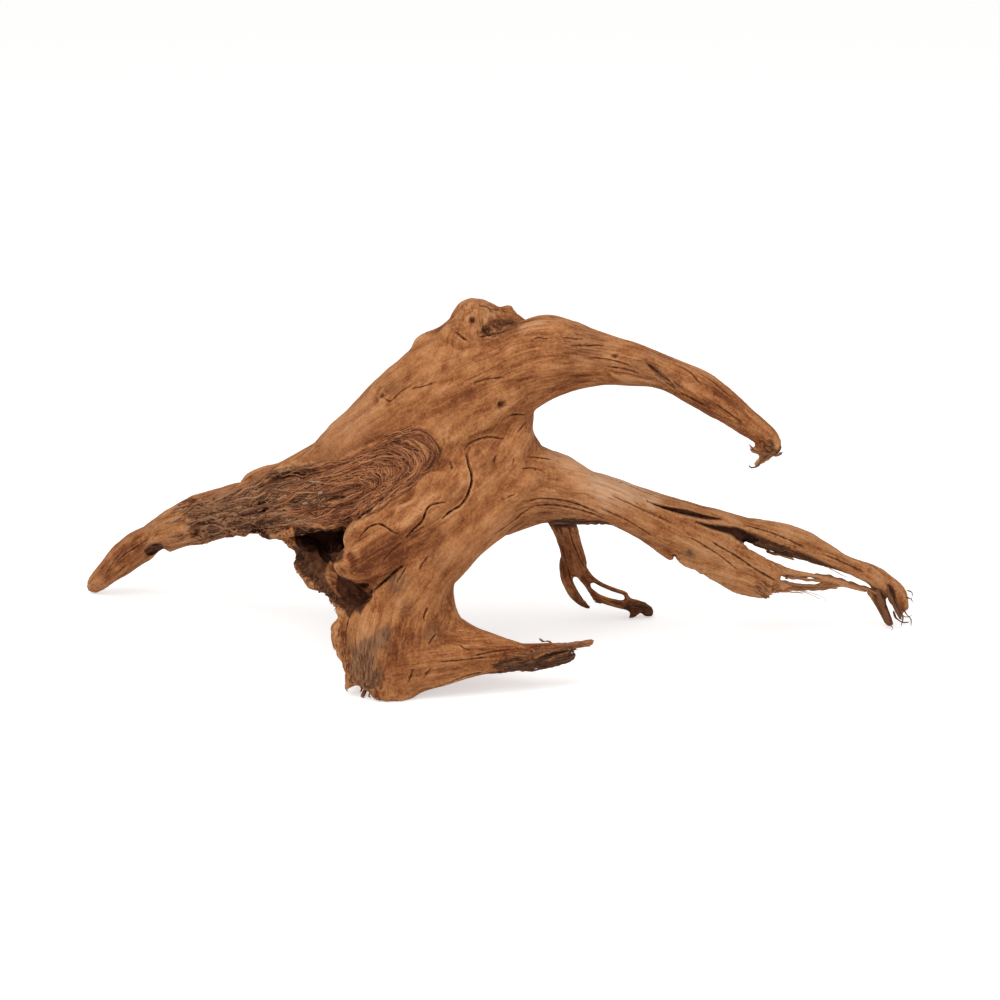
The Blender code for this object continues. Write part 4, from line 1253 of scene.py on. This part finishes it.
def makeStrandMaterial(name, speckGroup, stops, roughness):
    material = bpy.data.materials.new(name)
    material.use_nodes = True
    tree = material.node_tree
    shader = tree.nodes["Principled BSDF"]
    settings = {"attribute_type": "GEOMETRY", "attribute_name": "strandTone"}
    tone = addNode(tree, "Attribute", settings).outputs["Fac"]
    specks = specksNode(tree, speckGroup, *woodTone["strandSpecks"])
    colour = ramp(tree, calc(tree, "ADD", tone, specks), stops)
    tree.links.new(colour, shader.inputs["Base Color"])
    shader.inputs["Roughness"].default_value = roughness
    shader.inputs["Specular IOR Level"].default_value = 0.3
    bump = addNode(tree, "Bump", Strength=0.5, Distance=0.0004, Height=specks)
    tree.links.new(bump.outputs["Normal"], shader.inputs["Normal"])
    return material


# strands: fibres, hairs, splinters and rootlets, each a tapering tube

def strandsPiece(name, strands, material, thickSides=0):
    curve = bpy.data.curves.new(name, "CURVE")
    curve.dimensions = "3D"
    curve.bevel_depth = mm
    curve.bevel_resolution = thickSides
    tones = []
    for points, radii, tone in strands:
        spline = curve.splines.new("POLY")
        spline.points.add(len(points) - 1)
        flat = np.concatenate([np.array(points) * mm, np.ones((len(points), 1))], axis=1)
        spline.points.foreach_set("co", flat.ravel())
        spline.points.foreach_set("radius", np.array(radii, float))
        tones += list(np.broadcast_to(tone, len(points)))
    piece = bpy.data.objects.new(name, curve)
    bpy.context.scene.collection.objects.link(piece)
    bpy.ops.object.select_all(action="DESELECT")
    bpy.context.view_layer.objects.active = piece
    piece.select_set(True)
    bpy.ops.object.convert(target="MESH")
    piece = bpy.context.object
    piece.name = name
    ring = 4 + 2 * thickSides
    saveFloats(piece.data, "strandTone", np.repeat(tones, ring))
    bpy.ops.object.mode_set(mode="EDIT")
    bpy.ops.mesh.select_all(action="SELECT")
    bpy.ops.mesh.remove_doubles(threshold=0.000002)  # closes each tip to a point
    bpy.ops.mesh.normals_make_consistent(inside=False)
    bpy.ops.object.mode_set(mode="OBJECT")
    bpy.ops.object.shade_smooth()
    piece.data.materials.clear()
    piece.data.materials.append(material)
    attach(piece, "root")
    print(name + ":", len(strands), "strands,", len(piece.data.polygons), "faces")
    return piece


def taper(count, thick, root=0.7, tip=0.12):
    t = np.linspace(0, 1, count)
    radii = thick * np.minimum(root + t * 4 * (1 - root), 1) * np.clip((1 - t) * 3.2, tip, 1)
    radii[[0, -1]] = 0
    return radii


fibres = {
    "count": 1000,
    "hairs": 90,
    "seed": 3,
    "thick": (0.24, 0.55),
    "thickGrey": (0.4, 1.15),
    "thickHair": (0.12, 0.22),
    "points": 10,
    "hairPoints": 12,
    "lift": 1.5,
    "jump": 9,  # mm, past which a fibre would leap from one form to another
    "hairJump": 6,
    "hairStep": 2.6,  # pixels
    "hairDroop": 0.8,  # how flat a hair's curl lies in the photo
    "colours": [  # dark to light where the wood is brown, then again where it is grey
        (0.0, (0.090, 0.027, 0.010)), (0.22, (0.265, 0.085, 0.030)), (0.42, (0.430, 0.170, 0.068)),
        (0.52, (0.500, 0.225, 0.100)), (0.58, (0.095, 0.034, 0.014)), (0.82, (0.260, 0.108, 0.046)),
        (1.0, (0.420, 0.225, 0.115)),
    ],
}


def bandPoint(outer, inner, along, across):
    i = along * (len(outer) - 1)
    j = along * (len(inner) - 1)
    a = outer[int(i)] + (outer[min(int(i) + 1, len(outer) - 1)] - outer[int(i)]) * (i % 1)
    b = inner[int(j)] + (inner[min(int(j) + 1, len(inner) - 1)] - inner[int(j)]) * (j % 1)
    return a + (b - a) * across


def layFibre(tree, outer, inner, start, length, across, drift, wave, shift, lift):
    points, last = [], None
    for k in range(fibres["points"]):
        t = k / (fibres["points"] - 1)
        share = min(max(across + drift * t, -0.22), 1.05)
        place = bandPoint(outer, inner, min(start + length * t, 0.999), share)
        place = place + np.array([math.sin(wave + t * 9), math.cos(wave * 1.7 + t * 8)]) * shift
        spot, way = photoRay(*place)
        hit, normal, _, _ = tree.ray_cast(Vector(spot), Vector(way))
        if hit is None or (last is not None and (hit - last).length > fibres["jump"]):
            break
        last = hit
        rise = 0.1 + lift * math.sin(t * math.pi) + 1.3 * lift * max(0, t - 0.7)
        points.append(np.array(hit) + np.array(normal) * rise)
    return points


def layHair(tree, place, rng):  # a hair-thin curl that stands off the band and hangs over its lip
    turn, bend = rng.uniform(0, 6.28), rng.uniform(-0.35, 0.35)
    rise, points = 0.3, []
    for k in range(fibres["hairPoints"]):
        spot, way = photoRay(*place)
        hit, normal, _, _ = tree.ray_cast(Vector(spot), Vector(way))
        if hit is None or (points and np.linalg.norm(np.array(hit) - points[-1]) > fibres["hairJump"]):
            break
        points.append(np.array(hit) + np.array(normal) * rise)
        rise += rng.uniform(0, 0.35)
        turn += bend + rng.uniform(-0.2, 0.2)
        step = np.array([math.cos(turn), math.sin(turn) * fibres["hairDroop"]])
        place = place + step * fibres["hairStep"]
    return points


def makeFibres(tree, material):
    rng = random.Random(fibres["seed"])
    outer, inner = smoothLine(bandOuter, 2), smoothLine(bandInner, 2)
    strands, missed = [], 0
    while len(strands) + missed < fibres["count"]:
        start = rng.uniform(0.0, 0.95)
        across = rng.uniform(-0.2 if 0.36 < start < 0.62 else -0.06, 1.05)  # wider at the band's end
        length = rng.uniform(0.03, 0.17)
        clump = valueNoise(np.array([[start * 16, across * 6, 2.5]]), 95)[0]
        if clump < -0.25:
            continue
        drift = rng.uniform(-0.16, 0.16) * (2.0 if rng.random() < 0.25 else 1.0)
        wave, shift = rng.uniform(0, 6.28), rng.uniform(0.6, 2.6)
        lift = rng.uniform(0.0, 1.0)**2 * fibres["lift"]
        points = layFibre(tree, outer, inner, start, length, across, drift, wave, shift, lift)
        if len(points) < fibres["points"]:
            missed += rng.random() < 0.02  # a few misses count, so that the loop always ends
            continue
        grey = 1 - smoothStep(0.12, 0.3, start) if start < 0.5 else smoothStep(0.66, 0.86, start)
        isGrey = rng.random() < grey
        coarse = rng.random() < (0.5 if isGrey else 0.1)
        thick = rng.uniform(*fibres["thickGrey" if coarse else "thick"])
        tone = min(max(rng.uniform(0.05, 1.0) + 0.35 * clump, 0), 1) * 0.48 + (0.5 if isGrey else 0.0)
        strands.append((points, taper(len(points), thick), tone))
    for _ in range(fibres["hairs"]):
        place = np.array(bandPoint(outer, inner, rng.uniform(0.1, 0.95), rng.uniform(-0.15, 0.8)))
        points = layHair(tree, place, rng)
        if len(points) > 5:
            thick = rng.uniform(*fibres["thickHair"])
            strands.append((points, taper(len(points), thick), rng.uniform(0.3, 0.5)))
    return strandsPiece("frayed_fibres", strands, material)


# splinters along the grain: outline, how many, then length, thickness and lift in mm, and tone; the low tones
# of the splinters under the spur, leg and branch, at the hollow's edge and at the hind toes are painted shade
shreds = {
    "spurUnder": ([(490, 664), (530, 660), (572, 655), (566, 664), (530, 669), (492, 671)], 70, (8, 26),
        (0.3, 0.9), 1.2, (0, 0.35)),
    "spurTop": ([(500, 655), (540, 647), (588, 642), (586, 647), (545, 654), (505, 660)], 40, (8, 26),
        (0.25, 0.6), 0.6, (0.2, 0.7)),
    "flapEnd": ([(748, 582), (776, 578), (776, 592), (758, 598)], 34, (6, 14), (0.25, 0.6), 1.0, (0.3, 0.8)),
    "footCorner": ([(345, 660), (362, 650), (385, 660), (380, 695), (360, 683), (348, 684)], 24, (4, 9),
        (0.25, 0.5), 1.0, (0.15, 0.5)),
    "footEdge": ([(330, 622), (338, 618), (348, 640), (352, 672), (344, 676), (334, 650)], 34, (3, 9),
        (0.25, 0.5), 1.2, (0.3, 0.8)),
    "hollowEdge": ([(292, 558), (300, 556), (322, 580), (342, 592), (338, 606), (318, 592), (302, 578)], 50,
        (3, 9), (0.25, 0.6), 1.3, (0.0, 0.5)),
    "hollowLip": ([(262, 524), (352, 519), (352, 527), (300, 525), (272, 538)], 70, (3, 9), (0.2, 0.5), 2.0,
        (0.3, 1)),
    "shelfEnd": ([(178, 500), (240, 495), (245, 535), (200, 543), (180, 535)], 130, (5, 18), (0.3, 0.9), 1.4,
        (0.2, 1)),
    "shelfMiddle": ([(245, 492), (330, 478), (340, 512), (300, 522), (250, 530)], 120, (5, 20), (0.3, 1.0),
        1.8, (0.2, 1)),
    "knobRot": ([(478, 334), (486, 322), (503, 318), (518, 324), (503, 332)], 30, (3, 7), (0.25, 0.6), 1.0,
        (0, 0.5)),
    "hindToes": ([(585, 590), (600, 600), (640, 604), (650, 612), (630, 608), (590, 602)], 20, (5, 11),
        (0.3, 0.7), 0.9, (0, 0.3)),
    "armTip": ([(752, 436), (780, 440), (782, 452), (765, 452)], 26, (4, 9), (0.25, 0.6), 1.0, (0.1, 0.5)),
    "underLeg": ([(550, 518), (600, 520), (600, 524), (550, 523)], 30, (6, 14), (0.3, 0.8), 1.0, (0, 0.25)),
    "branchUnder": ([(745, 534), (800, 556), (850, 577), (832, 570), (790, 557), (748, 543)], 40, (6, 18),
        (0.25, 0.6), 0.9, (0, 0.4)),
    "armGroove": ([(645, 362), (676, 384), (674, 392), (655, 376)], 16, (5, 12), (0.25, 0.55), 0.9,
        (0.2, 0.7)),
}

splinters = {
    "seed": 29,
    "turned": 0.3,  # share of them that lift at their other end
}


def makeSplinters(tree, routes, material):
    rng = random.Random(splinters["seed"])
    strands = []
    for outline, count, lengths, thick, lift, tone in shreds.values():
        low, high = np.min(outline, axis=0), np.max(outline, axis=0)
        made = 0
        while made < count:
            place = np.array([[rng.uniform(low[0], high[0]), rng.uniform(low[1], high[1])]])
            if not inPolygon(place, outline)[0]:
                continue
            made += 1
            spot, way = photoRay(*place[0])
            hit = tree.ray_cast(Vector(spot), Vector(way))[0]
            if hit is None:
                continue
            found = traceCheck(tree, hit, routes, rng.uniform(*lengths), rng)
            if rng.random() < splinters["turned"]:
                found = found[::-1]
            t = np.linspace(0, 1, len(found))
            width = rng.uniform(*thick)
            rise = lift * rng.random() * t**2 + 0.25 * width
            points = [f[0] + f[1] * r for f, r in zip(found, rise)]
            strands.append((points, taper(len(points), width), rng.uniform(*tone)))
    return strandsPiece("splinters", strands, material)


# rootlets: x and y in the photo and y in mm, then the thickness at the root and at the tip
rootlets = {
    "armTip": [
        ([(776, 452, -84), (770, 455, -86), (763, 454, -88), (755, 451, -89), (749, 444, -90)], 1.5, 0.4),
        ([(772, 453, -84), (767, 457, -87), (761, 461, -89), (758, 465, -90), (752, 467, -91),
            (749, 464, -91)], 1.2, 0.4),
        ([(761, 444, -86), (762, 449, -87), (761, 453, -88)], 0.6, 0.25),
        ([(783, 452, -84), (777, 456, -86), (770, 456, -88), (764, 459, -89)], 0.8, 0.25),
        ([(766, 450, -85), (759, 452, -88), (752, 450, -90), (750, 447, -90)], 0.7, 0.3),
    ],
    "legTip": [
        ([(895, 598, 27), (899, 608, 26), (903, 617, 25), (901, 627, 25)], 0.9, 0.25),
        ([(902, 606, 28), (906, 614, 26), (911, 619, 25), (911, 627, 25)], 0.6, 0.2),
        ([(905, 597, 30), (911, 599, 28), (914, 604, 27)], 0.5, 0.15),
        ([(906, 590, 31), (912, 593, 29), (911, 602, 28)], 0.45, 0.15),
        ([(899, 612, 27), (906, 617, 25), (914, 615, 25)], 0.4, 0.15),
        ([(893, 610, 27), (896, 618, 26), (903, 622, 25), (910, 622, 24)], 0.8, 0.25),
        ([(876, 588, 29), (880, 600, 26), (885, 613, 25), (889, 625, 24)], 2.2, 1.7),
        ([(884, 583, 29), (890, 597, 26), (896, 610, 25), (902, 620, 25)], 1.8, 0.9),
        ([(889, 624, 24), (893, 628, 24), (891, 630, 24)], 0.5, 0.2),
    ],
    "legStrands": [
        ([(768, 562, 4), (785, 571, 6), (805, 575, 10), (828, 577, 16), (850, 583, 22), (872, 590, 27)], 1.5,
            1.2),
        ([(770, 570, 4), (790, 577, 6), (812, 580, 10), (838, 583, 16), (862, 588, 23), (878, 594, 27)], 1.2,
            0.7),
        ([(764, 578, 3), (784, 583, 4), (806, 586, 8), (830, 586, 14), (845, 584, 18)], 1.6, 0.6),
        ([(770, 588, 2), (790, 588, 4), (815, 590, 8), (838, 588, 14)], 1.0, 0.4),
        ([(768, 590, 1), (786, 592, 2), (804, 593, 3)], 0.8, 0.25),
        ([(785, 589, 2), (800, 591, 2), (812, 595, 2), (822, 600, 2)], 0.35, 0.12),
        ([(800, 590, 3), (815, 594, 3), (825, 599, 3), (824, 604, 3)], 0.22, 0.1),
        ([(795, 571, 10), (790, 576, 6), (785, 579, 4)], 1.3, 0.9),
        ([(766, 551, 8), (776, 554, 6), (786, 557, 6), (795, 560, 6)], 1.1, 0.7),
        ([(770, 549, 8), (782, 554, 8), (790, 557, 8)], 0.8, 0.4),
        ([(826, 566, 14), (838, 573, 12), (848, 578, 11)], 0.4, 0.15),
        ([(690, 521, 2), (705, 523, 1), (722, 524, 1), (740, 524, 3)], 0.9, 1.1),
    ],
    "foot": [
        ([(548, 521, -30), (563, 521, -30), (580, 522, -30), (599, 524, -30)], 1.0, 0.8),
        ([(552, 523, -28), (570, 523, -28), (590, 525, -28)], 0.8, 0.4),
        ([(367, 688, -92), (363, 694, -95), (362, 700, -97), (365, 705, -98)], 1.3, 0.9),
        ([(360, 684, -90), (362, 690, -93), (360, 693, -94)], 0.8, 0.4),
        ([(345, 684, -84), (346, 689, -86), (348, 692, -87)], 0.6, 0.2),
        ([(372, 690, -93), (369, 696, -96), (371, 702, -97)], 0.6, 0.3),
    ],
    "spur": [
        ([(535, 650, -84), (555, 646, -82), (575, 644, -80), (594, 641, -78)], 1.9, 1.3),
        ([(520, 655, -86), (545, 649, -84), (570, 645, -82), (590, 643, -79)], 1.2, 0.5),
        ([(545, 642, -80), (541, 640, -79), (539, 638, -78)], 0.7, 0.5),
        ([(552, 643, -80), (547, 641, -79), (541, 642, -78)], 0.6, 0.3),
        ([(510, 665, -86), (535, 661, -84), (556, 657, -82), (574, 655, -80)], 1.9, 1.5),
        ([(505, 668, -85), (530, 665, -83), (552, 661, -81), (571, 659, -79)], 1.4, 0.9),
        ([(498, 670, -84), (525, 668, -82), (545, 666, -80), (565, 662, -78)], 1.1, 0.4),
        ([(520, 671, -82), (540, 669, -80), (558, 665, -79)], 0.9, 0.3),
        ([(560, 655, -81), (568, 652, -80), (575, 652, -80)], 1.0, 0.5),
    ],
    "hind": [
        ([(630, 602, 54), (640, 604, 55), (650, 608, 56), (653, 615, 57)], 1.5, 0.7),
        ([(632, 606, 54), (642, 611, 55), (650, 617, 56), (652, 620, 57)], 1.2, 0.5),
        ([(636, 606, 54), (632, 612, 53), (630, 620, 52)], 1.1, 0.5),
        ([(645, 609, 56), (652, 611, 57)], 0.8, 0.4),
    ],
}

rootletLook = {
    "seed": 17,
    "wobble": 0.7,  # mm, for the thick ones
    "swell": 0.18,  # how much the thickness comes and goes
    "tones": {
        "armTip": (0.1, 0.5), "legTip": (0.1, 0.5), "legStrands": (0.45, 0.8), "foot": (0.2, 0.7),
        "spur": (0.25, 0.6), "hind": (0.05, 0.3),
    },
    "colours": [  # dark to light, for the splinters too
        (0.0, (0.050, 0.018, 0.008)), (0.4, (0.190, 0.072, 0.028)), (0.75, (0.400, 0.170, 0.070)),
        (1.0, (0.380, 0.240, 0.150)),
    ],
}


def makeRootlets(material):
    rng = random.Random(rootletLook["seed"])
    strands = []
    for group, lines in rootlets.items():
        for line, thick, thin in lines:
            points = smoothLine([photoPoint(*p) for p in line], 1.3)
            t = np.linspace(0, 1, len(points))
            wobble = np.stack([layeredNoise(points * 0.22 + 3 * k + rng.random() * 9, 2, k)
                               for k in range(3)], axis=1)
            points = points + wobble * min(thick, 1.0) * rootletLook["wobble"]
            swell = 1 + rootletLook["swell"] * np.sin(t * len(points) * 0.9 + rng.random() * 6)
            radii = (thick + (thin - thick) * t) * swell
            radii[[0, -1]] = 0
            points[:, 2] = np.maximum(points[:, 2], radii + 0.02)
            strands.append((points, radii, rng.uniform(*rootletLook["tones"][group])))
    return strandsPiece("rootlets", strands, material, 1)


def main():
    makeCamera()
    makeStudio()
    patternGroup, speckGroup = makeGrainGroup(), makeSpeckGroup()
    woodMaterial = makeWoodMaterial(patternGroup, speckGroup)
    fibreMaterial = makeStrandMaterial("frayedFibre", speckGroup, fibres["colours"], 0.8)
    rootletMaterial = makeStrandMaterial("darkRootlet", speckGroup, rootletLook["colours"], 0.75)
    print("studio and materials made")

    routes = makeRoutes()
    root = startBody()
    tree = sculptBody(root, routes)
    root.data.materials.append(woodMaterial)
    bpy.ops.object.select_all(action="DESELECT")
    root.select_set(True)
    bpy.context.view_layer.objects.active = root
    bpy.ops.object.shade_smooth()
    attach(root, "root")
    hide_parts("mangrove_root")
    makeFibres(tree, fibreMaterial)
    makeRootlets(rootletMaterial)
    makeSplinters(tree, routes, rootletMaterial)
    print("root dressed")


main()
